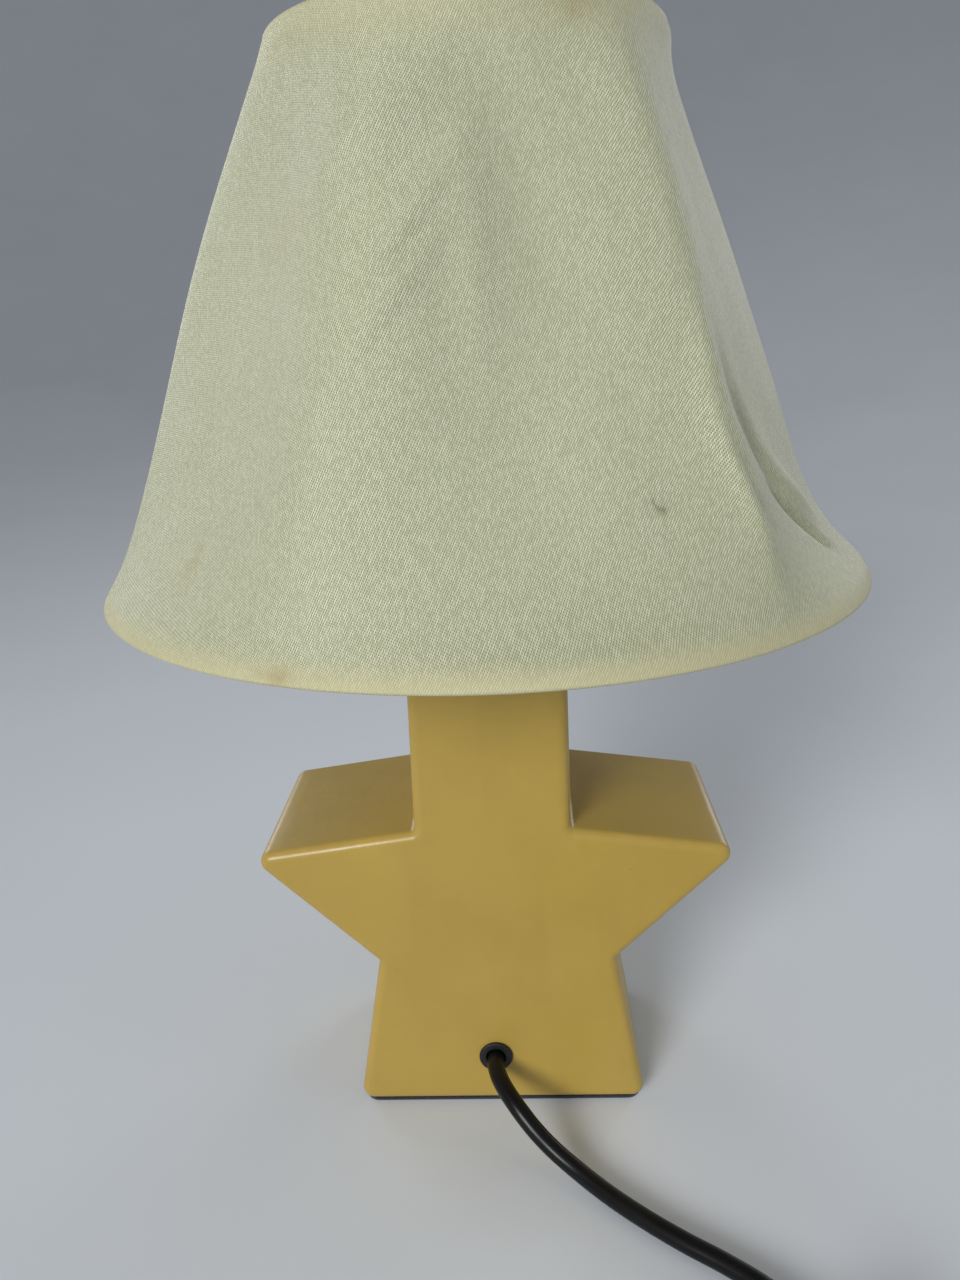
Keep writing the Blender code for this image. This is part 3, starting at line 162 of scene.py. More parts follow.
# Folds of the cover: places as (angle in degrees, height in mm), height of the ridge and width in mm
FOLDS = [
    ([(-96, 110), (-102.7, 107.3), (-109, 103), (-116.5, 96.4), (-124, 90)], 1.0, 3.6),
    ([(-93, 103), (-102, 95.5), (-108.7, 86), (-115, 76)], -0.9, 4.6),
    ([(-89.5, 100), (-95.5, 90), (-100, 83), (-104, 76), (-107.5, 69)], 1.0, 2.6),
    ([(-89.5, 90), (-97.2, 77), (-103.9, 66.5), (-109.6, 56.5), (-113, 50)], 0.9, 2.6),
    ([(-88.5, 106), (-88, 80), (-87, 50)], 0.6, 4.0),
    ([(-79, 108), (-76, 82), (-77, 56), (-79, 32)], -0.6, 9.0),
    ([(-50, 66), (-52, 50), (-51.2, 42), (-49.8, 34), (-48, 22), (-46, 14)], 1.3, 3.2),
    ([(-50.6, 46), (-49.2, 37), (-47.6, 28), (-45, 21)], -1.3, 1.7),
    ([(-46, 64), (-43.3, 47), (-38, 37.5), (-34, 29), (-31, 22)], -2.4, 4.6),
    ([(-38, 28), (-32.3, 22), (-27.2, 16.5), (-24.3, 13.3), (-21.5, 9.7), (-18, 6)], -2.8, 1.7),
    ([(-32, 32), (-25, 24.5), (-16, 16)], 1.6, 3.6),
    ([(-31, 62), (-30, 46), (-27, 36)], -1.0, 9.0),
    ([(28, 24), (44, 46), (50, 80)], 0.7, 6.0),
    ([(96, 100), (108, 78), (112, 46)], -0.8, 7.0),
    ([(150, 36), (164, 58), (172, 92)], 0.6, 5.5),
    ([(-152, 20), (-146, 40), (-149, 70)], -0.7, 7.0),
]

# Marks on the cover: strength, place as (angle in degrees, height in mm) and size in mm
STAINS = [
    (0.55, (-112.4, 1.7), (4.0, 2.0)),
    (0.28, (-136.5, 16.7), (3.2, 5.0)),
    (0.50, (-61.8, 124), (3.5, 2.5)),
    (0.16, (-128, 84), (10, 6)),
    (0.20, (64, 12), (5, 4)),
    (0.18, (155, 70), (6, 5)),
]
SNAG = [
    (0.48, (-63.3, 29.6), (0.5, 1.2)),
    (0.80, (-62.5, 27.9), (1.0, 0.5)),
]

# Camera of the photograph: its place, its turn, dip and roll in radians, and its lens and sensor in mm
CAMERA_PLACE = (0.00928, -0.27101, 0.22726)
CAMERA_TURNS = (-0.04291, 0.31723, -0.04153)
CAMERA_LENS = 28.125
CAMERA_SENSOR = 36.0

# Square soft lights: place, side and power. All face one target
LIGHTS = {
    "key_light": ((-0.80, -1.75, 0.90), 0.8, 2.35),
    "fill_light": ((1.50, -0.55, 0.80), 0.9, 0.15),
    "back_light_right": ((1.05, 1.25, 0.55), 0.9, 0.5),
    "back_light_left": ((-1.05, 1.25, 0.55), 0.9, 0.5),
}
LIGHT_TARGET = (0, 0, 0.16)
LIGHT_SPREAD = math.radians(42)
SKY_COLOUR = (0.97, 0.98, 1.0, 1.0)
SKY_STRENGTH = 0.30

# Directions that lay a shape's x, y and z along the world: stood up, and turned to face back
UPRIGHT = ((1, 0, 0), (0, 0, 1), (0, 1, 0))
BACKWARD = ((1, 0, 0), (0, 0, 1), (0, -1, 0))

Shape = namedtuple("Shape", "points quads caps uvs")


class LampSizes(bpy.types.PropertyGroup):
    """Sizes of the finished surfaces that a user would change."""

    lead_thickness: bpy.props.FloatProperty(
        name="Lead thickness", description="Outer size of the round mains lead",
        default=0.0050, min=0.001, unit="LENGTH", precision=4)
    fabric_thickness: bpy.props.FloatProperty(
        name="Fabric thickness", description="Thickness of the shade's cover",
        default=0.0005, min=0.0001, unit="LENGTH", precision=4)
    weave_pitch: bpy.props.FloatProperty(
        name="Weave pitch", description="Distance between two threads of the cover",
        default=0.00022, min=0.0001, unit="LENGTH", precision=5)
    panel_flatness: bpy.props.FloatProperty(
        name="Panel flatness", description="How far the cover is drawn in to flat panels between the ribs",
        default=PANEL_FLATNESS, min=0.0, max=1.0, subtype="FACTOR")
    fold_height: bpy.props.FloatProperty(
        name="Fold height", description="Scale of the cover's folds and creases, 1 as seen",
        default=1.0, min=0.0, max=2.0, subtype="FACTOR")
    star_edge: bpy.props.FloatProperty(
        name="Star edge", description="Rounding of the star's edges under the glaze",
        default=0.0027, min=0.0005, unit="LENGTH", precision=4)
    thread_depth: bpy.props.FloatProperty(
        name="Thread depth", description="Depth of the lampholder's outer thread",
        default=0.0005, min=0.0, unit="LENGTH", precision=4)
    boot_rings: bpy.props.IntProperty(
        name="Boot rings", description="Number of grooves in the plug's bend relief", default=6, min=0)


class LampColours(bpy.types.PropertyGroup):
    """Colours of the finishes, as linear values."""

    glaze: bpy.props.FloatVectorProperty(
        name="Glaze", description="Mustard glaze on the star", subtype="COLOR", size=3,
        default=(0.44, 0.300, 0.060), min=0, max=1)
    clay: bpy.props.FloatVectorProperty(
        name="Clay", description="Bare clay inside the star and under its foot", subtype="COLOR", size=3,
        default=(0.62, 0.47, 0.34), min=0, max=1)
    fabric: bpy.props.FloatVectorProperty(
        name="Fabric", description="Cream cover of the shade", subtype="COLOR", size=3,
        default=(0.585, 0.598, 0.370), min=0, max=1)
    hem: bpy.props.FloatVectorProperty(
        name="Hem", description="Yellowed hem of the cover", subtype="COLOR", size=3,
        default=(0.62, 0.56, 0.31), min=0, max=1)
    black: bpy.props.FloatVectorProperty(
        name="Black", description="Sheath, rubber and moulded black pieces", subtype="COLOR", size=3,
        default=(0.0045, 0.0045, 0.005), min=0, max=1)
    white: bpy.props.FloatVectorProperty(
        name="White", description="Off-white mouldings and coated wire", subtype="COLOR", size=3,
        default=(0.78, 0.76, 0.69), min=0, max=1)
    brass: bpy.props.FloatVectorProperty(
        name="Brass", description="Contacts and terminals", subtype="COLOR", size=3,
        default=(0.72, 0.50, 0.20), min=0, max=1)
    steel: bpy.props.FloatVectorProperty(
        name="Steel", description="Zinc-plated steel", subtype="COLOR", size=3,
        default=(0.56, 0.57, 0.58), min=0, max=1)
    floor: bpy.props.FloatVectorProperty(
        name="Floor", description="Pale table and backdrop", subtype="COLOR", size=3,
        default=(0.74, 0.78, 0.83), min=0, max=1)


# Surfaces


def unit(rows):
    """Rows of numbers scaled to a length of one."""
    return rows / np.maximum(np.linalg.norm(rows, axis=-1, keepdims=True), 1e-12)


def run_of(path):
    """Distance run along a line at each of its points."""
    return np.concatenate([[0], np.cumsum(np.linalg.norm(np.diff(path, axis=0), axis=1))])


def at_run(path, run, at):
    """Points of a line at given distances along it."""
    return np.stack([np.interp(at, run, path[:, axis]) for axis in range(3)], axis=1)


def ramp(value, low, high):
    """Smooth step from 0 at low to 1 at high."""
    t = np.clip((value - low) / (high - low), 0, 1)
    return t * t * (3 - 2 * t)


def smooth_band(value, start, full, fading, end):
    """Smooth band: 0 up to its start, 1 from full to fading, and 0 again from its end."""
    return ramp(value, start, full) * (1 - ramp(value, fading, end))


def helix(angle, height, pitch):
    """Wave of a thread: the cosine of the turns run up it less the angle."""
    return np.cos(2 * math.pi * height / pitch - angle)


def grid_quads(along, around, close_along, close_around):
    """Corner numbers of a grid's quads, with the last row or column joined to the first where closed."""
    i, j = np.meshgrid(
        np.arange(along if close_along else along - 1),
        np.arange(around if close_around else around - 1), indexing="ij")
    i = i.ravel()
    j = j.ravel()
    ahead = (i + 1) % along
    beside = (j + 1) % around
    row, next_row = i * around, ahead * around
    return np.stack([row + j, next_row + j, next_row + beside, row + beside], axis=1)


def reach_along(points, axis, close):
    """Mean distance run along one way of a grid, with one more value where that way is closed."""
    if close:
        first = np.take(points, [0], axis=axis)
        points = np.concatenate([points, first], axis=axis)
    steps = np.linalg.norm(np.diff(points, axis=axis), axis=2).mean(axis=1 - axis)
    return np.concatenate([[0], np.cumsum(steps)])


def surface(points, close_along=False, close_around=False, capped=True, uv=None):
    """A grid of points as quads, with UVs in metres run along both ways, end faces over open ends of a
    closed section, and the faces turned outwards by the sign of the volume they hold."""
    along, around = points.shape[:2]
    quads = grid_quads(along, around, close_along, close_around)
    if uv is None:
        v = reach_along(points, 0, close_along)
        u = reach_along(points, 1, close_around)
        uv = np.stack(np.broadcast_arrays(u[None, :], v[:, None]), axis=2)
    rows, columns = uv.shape[:2]
    i, j = np.meshgrid(np.arange(rows - 1), np.arange(columns - 1), indexing="ij")
    i = i.ravel()
    j = j.ravel()
    uvs = np.stack([uv[i, j], uv[i + 1, j], uv[i + 1, j + 1], uv[i, j + 1]], axis=1)
    caps = []
    if capped and close_around and not close_along:
        caps = [np.arange(around), np.arange(around)[::-1] + (along - 1) * around]
    flat = points.reshape(-1, 3)
    if volume(flat, quads, caps) < 0:
        quads = quads[:, ::-1]
        uvs = uvs[:, ::-1]
        caps = [cap[::-1] for cap in caps]
    return Shape(flat, quads, caps, uvs)


def volume(points, quads, caps):
    """Signed volume under the faces: the sum of the triple products of their triangles over six."""
    total = triple(points[quads[:, 0]], points[quads[:, 1]], points[quads[:, 2]])
    total += triple(points[quads[:, 0]], points[quads[:, 2]], points[quads[:, 3]])
    for cap in caps:
        total += triple(points[np.full(len(cap) - 2, cap[0])], points[cap[1:-1]], points[cap[2:]])
    return total / 6


def triple(a, b, c):
    """Sum of a . (b x c) over rows."""
    return float(np.sum(a * np.cross(b, c)))


def join(*shapes):
    """Several shapes as one, each still its own closed body."""
    starts = np.cumsum([0] + [len(shape.points) for shape in shapes])
    return Shape(
        np.concatenate([shape.points for shape in shapes]),
        np.concatenate([shape.quads + start for shape, start in zip(shapes, starts)]),
        [cap + start for shape, start in zip(shapes, starts) for cap in shape.caps],
        np.concatenate([shape.uvs for shape in shapes]))


def placed(shape, origin=(0, 0, 0), axes=((1, 0, 0), (0, 1, 0), (0, 0, 1))):
    """A shape with its own x, y and z laid along three world directions from an origin. Left-handed
    directions turn the faces round, so these are turned back."""
    axes = np.array(axes, float)
    points = shape.points @ axes + np.array(origin, float)
    if np.linalg.det(axes) > 0:
        return shape._replace(points=points)
    return Shape(points, shape.quads[:, ::-1], [cap[::-1] for cap in shape.caps], shape.uvs[:, ::-1])


def mesh_of(name, shape, sharp=35):
    """A mesh from a shape, smooth but for edges sharper than an angle in degrees."""
    mesh = bpy.data.meshes.new(name)
    faces = shape.quads.tolist() + [cap.tolist() for cap in shape.caps]
    mesh.from_pydata(shape.points.tolist(), [], faces)
    layer = mesh.uv_layers.new(name="UVMap")
    flat = [shape.points[cap][:, :2] for cap in shape.caps]
    layer.data.foreach_set("uv", np.concatenate([shape.uvs.reshape(-1, 2)] + flat).ravel())
    mesh.update()
    return smoothed(mesh, sharp)


def smoothed(mesh, sharp=35):
    """A mesh shaded smooth but for edges sharper than an angle in degrees."""
    mesh.shade_smooth()
    mesh.set_sharp_from_angle(angle=math.radians(sharp))
    return mesh


def rounded(corners, radius, steps=6, closed=True):
    """A line of corners with each corner replaced by an arc of its own radius. The arc's centre lies on
    the corner's bisector, its radius over the sine of the half angle away."""
    corners = np.array(corners, float)
    radius = np.broadcast_to(np.array(radius, float), len(corners))
    back = unit(np.roll(corners, 1, axis=0) - corners)
    ahead = unit(np.roll(corners, -1, axis=0) - corners)
    half = np.arccos(np.clip(np.sum(back * ahead, axis=1), -1, 1)) / 2
    middle = unit(back + ahead)
    across = unit(back - middle * np.cos(half)[:, None])
    turn = (math.pi / 2 - half)[:, None] * np.linspace(1, -1, steps + 1)
    centre = corners + middle * (radius / np.sin(half))[:, None]
    arc = np.cos(turn)[:, :, None] * -middle[:, None] + np.sin(turn)[:, :, None] * across[:, None]
    arcs = centre[:, None] + radius[:, None, None] * arc
    if closed:
        return arcs.reshape(-1, 2)
    return np.concatenate([corners[:1], arcs[1:-1].reshape(-1, 2), corners[-1:]])


def denser(line, step, closed=False):
    """A line with points added so that none of its stretches is longer than a step."""
    line = np.asarray(line, float)
    if closed:
        line = np.concatenate([line, line[:1]])
    span = np.linalg.norm(np.diff(line, axis=0), axis=1)
    count = np.maximum(np.ceil(span / step).astype(int), 1)
    piece = np.repeat(np.arange(len(span)), count)
    share = (np.arange(len(piece)) - np.repeat(np.cumsum(count) - count, count)) / count[piece]
    points = line[piece] + share[:, None] * (line[piece + 1] - line[piece])
    return points if closed else np.concatenate([points, line[-1:]])


def lathe(profile, steps=96, closed=True, wave=None):
    """A profile of (radius, height) turned about Z: x = r cos a, y = r sin a. A wave of the angle and
    the height is added to the radius, for threads and knurls."""
    profile = np.asarray(profile, float)
    angle = np.arange(steps) * 2 * math.pi / steps
    r = np.broadcast_to(profile[:, :1], (len(profile), steps))
    z = np.broadcast_to(profile[:, 1:], (len(profile), steps))
    if wave is not None:
        r = r + wave(angle[None, :], z, r)
    points = np.stack([r * np.cos(angle), r * np.sin(angle), z], axis=2)
    return surface(points, close_along=closed, close_around=True)


def carried(path, section, up):
    """A section of (side, lift) points carried along a path: the side is across the path and square to
    a given up, and the lift is square to both. The section may change from point to point."""
    path = np.asarray(path, float)
    ahead = unit(np.gradient(path, axis=0))
    side = unit(np.cross(ahead, np.broadcast_to(np.array(up, float), path.shape)))
    lift = np.cross(side, ahead)
    section = np.broadcast_to(section, (len(path),) + np.shape(section)[-2:])
    points = path[:, None] + section[:, :, :1] * side[:, None] + section[:, :, 1:] * lift[:, None]
    return surface(points, close_around=True)


def circle(radius, sides):
    """A round section, for one radius or for one at each point of a path."""
    angle = np.arange(sides) * 2 * math.pi / sides
    ring = np.stack([np.cos(angle), np.sin(angle)], axis=1)
    return np.asarray(radius, float)[..., None, None] * ring


def wire(path, radius, up, sides=12):
    """A round wire along a path. Near each end it is a half ball: its radius at a distance d from the
    end is r sqrt(1 - (1 - d / r)^2)."""
    path = np.asarray(path, float)
    reach = run_of(path)
    ends = radius * (1 - np.cos(np.linspace(0, math.pi / 2, 6)))
    between = reach[(reach > 1.2 * radius) & (reach < reach[-1] - 1.2 * radius)]
    at = np.concatenate([ends, between, reach[-1] - ends[::-1]])
    line = at_run(path, reach, at)
    off = np.clip(np.minimum(at, reach[-1] - at), 0.02 * radius, radius)
    size = radius * np.sqrt(1 - (1 - off / radius) ** 2)
    return carried(line, circle(size, sides), up)


def inward_of(outline):
    """How each point of an anticlockwise outline moves as its two sides move inwards by one: along their
    bisector, by one over the cosine of the half angle between them."""
    before = outline - np.roll(outline, 1, axis=0)
    after = np.roll(outline, -1, axis=0) - outline
    before = unit(np.stack([-before[:, 1], before[:, 0]], axis=1))
    after = unit(np.stack([-after[:, 1], after[:, 0]], axis=1))
    inward = unit(before + after)
    return inward / np.sum(inward * before, axis=1)[:, None]


def plate(outline, levels):
    """A flat outline in x and y as a stack of rings, each moved inwards by an inset and lifted to a
    height."""
    outline = np.asarray(outline, float)
    levels = np.asarray(levels, float)
    flat = outline[None] + levels[:, :1, None] * inward_of(outline)[None]
    height = np.broadcast_to(levels[:, 1:, None], flat.shape[:2] + (1,))
    return surface(np.concatenate([flat, height], axis=2), close_around=True)


def oblong(x, y):
    """Corners of an oblong about the middle, anticlockwise."""
    return [(x, -y), (x, y), (-x, y), (-x, -y)]


def edge_levels(low, high, round_low, round_high, steps=5, ease=0.0004):
    """Insets and heights of a plate whose lower and upper edges are quarter circles."""
    turn = np.linspace(0, math.pi / 2, steps + 1)
    up = np.stack([round_low * (1 - np.sin(turn)), low + round_low * (1 - np.cos(turn))], axis=1)
    down = np.stack([round_high * (1 - np.cos(turn)), high - round_high * (1 - np.sin(turn))], axis=1)
    return np.concatenate([[[round_low + ease, low]], up, down, [[round_high + ease, high]]])


def smooth_route(points, step):
    """Points at an even step along a smooth curve through a route's points: a cubic between each two
    of them, with slopes from their neighbours."""
    route = np.array(points, float)
    reach = run_of(route)
    slopes = np.gradient(route, reach, axis=0)
    fine = np.linspace(0, reach[-1], 40 * len(route))
    piece = np.clip(np.searchsorted(reach, fine, side="right") - 1, 0, len(route) - 2)
    span = (reach[piece + 1] - reach[piece])[:, None]
    t = (fine - reach[piece])[:, None] / span
    curve = (
        (2 * t ** 3 - 3 * t ** 2 + 1) * route[piece]
        + (t ** 3 - 2 * t ** 2 + t) * span * slopes[piece]
        + (3 * t ** 2 - 2 * t ** 3) * route[piece + 1]
        + (t ** 3 - t ** 2) * span * slopes[piece + 1]
    )
    return even_points(curve, step)


def even_points(curve, step):
    """A curve's points again, at an even step along it."""
    run = run_of(curve)
    even = np.linspace(0, run[-1], max(3, round(run[-1] / step)) + 1)
    return at_run(curve, run, even)


def show(name, mesh, body, maker, *nodes):
    """A finished piece: it rides on a body, stands for CAD nodes and has the finish of its maker."""
    piece = bpy.data.objects.new(name, mesh)
    bpy.context.scene.collection.objects.link(piece)
    mesh.materials.clear()
    mesh.materials.append(once(maker))
    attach(piece, body)
    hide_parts(*nodes)
    return piece


def dress(name, shape, body, maker, *nodes, sharp=35):
    """A shape shown as a finished piece."""
    return show(name, mesh_of(name, shape, sharp), body, maker, *nodes)


def carve(mesh, *cutters):
    """A mesh with shapes cut out of it, shaded again."""
    body = bpy.data.objects.new("carved", mesh)
    bpy.context.scene.collection.objects.link(body)
    tools = []
    for number, shape in enumerate(cutters):
        tool = bpy.data.objects.new(f"cutter_{number}", mesh_of("cutter", shape))
        bpy.context.scene.collection.objects.link(tool)
        modifier = body.modifiers.new("cut", "BOOLEAN")
        modifier.object = tool
        tools.append(tool)
    result = bpy.data.meshes.new_from_object(body.evaluated_get(bpy.context.evaluated_depsgraph_get()))
    for extra in tools + [body]:
        bpy.data.objects.remove(extra)
    return smoothed(result)


def vertex_points(mesh):
    """A mesh's vertices as rows."""
    points = np.empty(3 * len(mesh.vertices))
    mesh.vertices.foreach_get("co", points)
    return points.reshape(-1, 3)


def paint_mask(mesh, name, values):
    """A value at each vertex, for a material to read."""
    layer = mesh.attributes.new(name, "FLOAT", "POINT")
    layer.data.foreach_set("value", np.asarray(values, np.float32))


def rod(radius, low, high, steps=48):
    """A plain closed rod about Z, for cutting."""
    return lathe([(radius, low), (radius, high)], steps, closed=False)


# Materials


def put(tree, kind, sockets=None, **settings):
    """A node with its settings, and its sockets set to a value or joined to another node's output."""
    made = tree.nodes.new(kind)
    for key, value in settings.items():
        setattr(made, key, value)
    for key, value in (sockets or {}).items():
        if isinstance(value, bpy.types.NodeSocket):
            tree.links.new(value, made.inputs[key])
        else:
            made.inputs[key].default_value = value
    return made


def math_of(tree, operation, first, second=0.0):
    """The output of one sum."""
    return put(tree, "ShaderNodeMath", {0: first, 1: second}, operation=operation).outputs[0]


def mix_of(tree, factor, first, second):
    """The output of one mix of two colours, each an output or three plain values."""
    sides = [side if isinstance(side, bpy.types.NodeSocket) else (*side, 1.0) for side in (first, second)]
    sockets = {"Factor": factor, 6: sides[0], 7: sides[1]}
    return put(tree, "ShaderNodeMix", sockets, data_type="RGBA").outputs[2]


def range_of(tree, value, low, high, to_low, to_high):
    """A value carried from one range to another, and kept in it."""
    return put(tree, "ShaderNodeMapRange", {
        "Value": value, "From Min": low, "From Max": high, "To Min": to_low, "To Max": to_high}).outputs[0]


def new_group(name, inputs, outputs):
    """An empty shader group: a place and named values with their defaults in, named values out."""
    tree = bpy.data.node_groups.new(name, "ShaderNodeTree")
    tree.interface.new_socket("Vector", in_out="INPUT", socket_type="NodeSocketVector")
    for label, default in inputs.items():
        socket = tree.interface.new_socket(label, in_out="INPUT", socket_type="NodeSocketFloat")
        socket.default_value = default
    for label in outputs:
        tree.interface.new_socket(label, in_out="OUTPUT", socket_type="NodeSocketFloat")
    return tree, tree.nodes.new("NodeGroupInput"), tree.nodes.new("NodeGroupOutput")


def mottle_group():
    """Soft cloudy variation: noise of a given scale, carried to the range between two values."""
    tree, given, result = new_group("Mottle", {"Scale": 40.0, "Low": 0.0, "High": 1.0}, ["Value"])
    noise = put(tree, "ShaderNodeTexNoise", {
        "Vector": given.outputs["Vector"], "Scale": given.outputs["Scale"], "Detail": 4.0, "Roughness": 0.55})
    value = put(tree, "ShaderNodeMapRange", {
        "Value": noise.outputs["Fac"], "From Min": 0.3, "From Max": 0.7,
        "To Min": given.outputs["Low"], "To Max": given.outputs["High"]})
    tree.links.new(value.outputs[0], result.inputs["Value"])
    return tree


def specks_group():
    """Small round specks: near the middle of some of the cells of a scattered pattern."""
    tree, given, result = new_group("Specks", {"Scale": 300.0, "Size": 0.15, "Share": 0.3}, ["Mask"])
    cells = put(tree, "ShaderNodeTexVoronoi", {
        "Vector": given.outputs["Vector"], "Scale": given.outputs["Scale"]})
    near = math_of(tree, "LESS_THAN", cells.outputs["Distance"], given.outputs["Size"])
    split = put(tree, "ShaderNodeSeparateColor", {0: cells.outputs["Color"]})
    some = math_of(tree, "LESS_THAN", split.outputs[0], given.outputs["Share"])
    tree.links.new(math_of(tree, "MULTIPLY", near, some), result.inputs["Mask"])
    return tree


def weave_group():
    """Five-end satin weave. With x in threads, each thread is round, |sin| across it, and shows as floats
    that dip under every fifth cross thread, cos along it. The dip moves on by two at the next thread, which
    makes the steep rows of dots in the cloth. Each float also has a random value of its own."""
    ends, move = 5.0, 2.0
    tree, given, result = new_group("Weave", {"Pitch": 0.00022}, ["Height", "Top", "Random"])
    axes = put(tree, "ShaderNodeSeparateXYZ", {0: given.outputs["Vector"]})
    x = math_of(tree, "DIVIDE", axes.outputs[0], given.outputs["Pitch"])
    y = math_of(tree, "DIVIDE", axes.outputs[1], given.outputs["Pitch"])
    round_top = math_of(tree, "ABSOLUTE", math_of(tree, "SINE", math_of(tree, "MULTIPLY", x, math.pi)))
    thread = math_of(tree, "FLOOR", x)
    step = math_of(tree, "SUBTRACT", y, math_of(tree, "MULTIPLY", thread, move))
    place = put(tree, "ShaderNodeCombineXYZ", {
        0: thread, 1: math_of(tree, "ROUND", math_of(tree, "DIVIDE", step, ends))})
    random = put(tree, "ShaderNodeTexWhiteNoise", {"Vector": place.outputs[0]}, noise_dimensions="2D")
    tree.links.new(random.outputs["Value"], result.inputs["Random"])
    float_wave = math_of(tree, "COSINE", math_of(tree, "MULTIPLY", step, 2 * math.pi / ends))
    top = range_of(tree, float_wave, -0.9, 0.0, 0.0, 1.0)
    height = math_of(tree, "MULTIPLY", top, range_of(tree, round_top, 0.0, 1.0, 0.55, 1.0))
    tree.links.new(height, result.inputs["Height"])
    tree.links.new(math_of(tree, "MULTIPLY", round_top, top), result.inputs["Top"])
    return tree


def streaks_group():
    """Fine streaks along Z, as drawing or brushing leaves: noise stretched along one way."""
    tree, given, result = new_group("Streaks", {"Scale": 600.0, "Stretch": 0.05}, ["Value"])
    axes = put(tree, "ShaderNodeSeparateXYZ", {0: given.outputs["Vector"]})
    thin = math_of(tree, "MULTIPLY", axes.outputs[2], given.outputs["Stretch"])
    joined = put(tree, "ShaderNodeCombineXYZ", {0: axes.outputs[0], 1: axes.outputs[1], 2: thin})
    noise = put(tree, "ShaderNodeTexNoise", {
        "Vector": joined.outputs[0], "Scale": given.outputs["Scale"], "Detail": 3.0})
    tree.links.new(noise.outputs["Fac"], result.inputs["Value"])
    return tree


def use(tree, name, **sockets):
    """A shared group placed in a material."""
    makers = {"Mottle": mottle_group, "Specks": specks_group, "Weave": weave_group, "Streaks": streaks_group}
    group = bpy.data.node_groups.get(name) or makers[name]()
    return put(tree, "ShaderNodeGroup", sockets, node_tree=group)


def clouds(tree, place, scale, low=0.0, high=1.0):
    """Soft clouds between two values."""
    return use(tree, "Mottle", Vector=place, Scale=scale, Low=low, High=high).outputs[0]


def specks(tree, place, scale, size, share):
    """A mask of small round specks."""
    return use(tree, "Specks", Vector=place, Scale=scale, Size=size, Share=share).outputs[0]


def streaks(tree, place, scale, stretch):
    """Fine streaks along Z."""
    return use(tree, "Streaks", Vector=place, Scale=scale, Stretch=stretch).outputs[0]


def mask(tree, name):
    """A value that is painted on the mesh."""
    return put(tree, "ShaderNodeAttribute", attribute_name=name).outputs["Fac"]


def flat_place(tree):
    """The piece's own UV map."""
    return put(tree, "ShaderNodeUVMap", uv_map="UVMap").outputs[0]


def new_material(name, **values):
    """A material with a Principled BSDF, plain values set on its own sockets."""
    material = bpy.data.materials.new(name)
    material.use_nodes = True
    tree = material.node_tree
    shader = tree.nodes["Principled BSDF"]
    for key, value in values.items():
        shader.inputs[key.replace("_", " ")].default_value = value
    return material, tree, shader


def bump(tree, shader, height, strength, distance, before=None):
    """A Bump node in front of the shader, on top of another one where there is one."""
    sockets = {"Height": height, "Strength": strength, "Distance": distance}
    if before is not None:
        sockets["Normal"] = before
    made = put(tree, "ShaderNodeBump", sockets)
    tree.links.new(made.outputs[0], shader.inputs["Normal"])
    return made.outputs[0]


def object_place(tree):
    """Object coordinates."""
    return put(tree, "ShaderNodeTexCoord").outputs["Object"]


def colours():
    """The user's colours."""
    return bpy.context.scene.lamp_colours


def sizes():
    """The user's sizes."""
    return bpy.context.scene.lamp_sizes


def once(maker):
    """A finish by its maker's name, made the first time it is asked for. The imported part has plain
    materials with the slots' own names, so a finish has a name of its own."""
    name = f"{maker.__name__}_finish"
    return bpy.data.materials.get(name) or maker(name)


def tone(colour, factor):
    """A colour made lighter or darker."""
    return tuple(min(1.0, value * factor) for value in colour)


def yellow_glaze(name):
    """Mustard glaze that pools a little darker in the flats, thins to a paler line on the edges that is also
    a painted highlight along them, with pinholes, faint drips and bare clay where the mask says so."""
    material, tree, shader = new_material(
        name, Coat_Weight=0.10, Coat_Roughness=0.20, Specular_IOR_Level=0.36)
    place = object_place(tree)
    glaze = colours().glaze
    drips = streaks(tree, place, 70.0, 0.18)
    colour = mix_of(tree, clouds(tree, place, 22.0), tone(glaze, 0.93), tone(glaze, 1.07))
    colour = mix_of(tree, range_of(tree, drips, 0.52, 0.75, 0.0, 0.35), colour, tone(glaze, 0.84))
    # Paler line on the rounded edges: thin glaze, and painted highlight along the edges.
    thin = math_of(tree, "MULTIPLY", mask(tree, "edge"), clouds(tree, place, 160.0, 0.15, 0.75))
    colour = mix_of(tree, thin, colour, (min(1, glaze[0] * 1.25), glaze[1] * 1.22, glaze[2] * 1.6))
    pits = specks(tree, place, 240.0, 0.07, 0.05)
    colour = mix_of(tree, math_of(tree, "MULTIPLY", pits, 0.4), colour, tone(glaze, 0.5))
    bare = mask(tree, "bare")
    clay = colours().clay
    grit = mix_of(tree, clouds(tree, place, 900.0), tone(clay, 0.85), tone(clay, 1.1))
    tree.links.new(mix_of(tree, bare, colour, grit), shader.inputs["Base Color"])
    gloss = clouds(tree, place, 55.0, 0.30, 0.42)
    rough = math_of(tree, "MAXIMUM", gloss, math_of(tree, "MULTIPLY", bare, 0.85))
    tree.links.new(rough, shader.inputs["Roughness"])
    waves = bump(tree, shader, clouds(tree, place, 38.0), 0.22, 0.0008)
    peel = bump(tree, shader, clouds(tree, place, 420.0), 0.12, 0.0001, waves)
    bump(tree, shader, math_of(tree, "MULTIPLY", pits, -1.0), 0.3, 0.0001, peel)
    return material


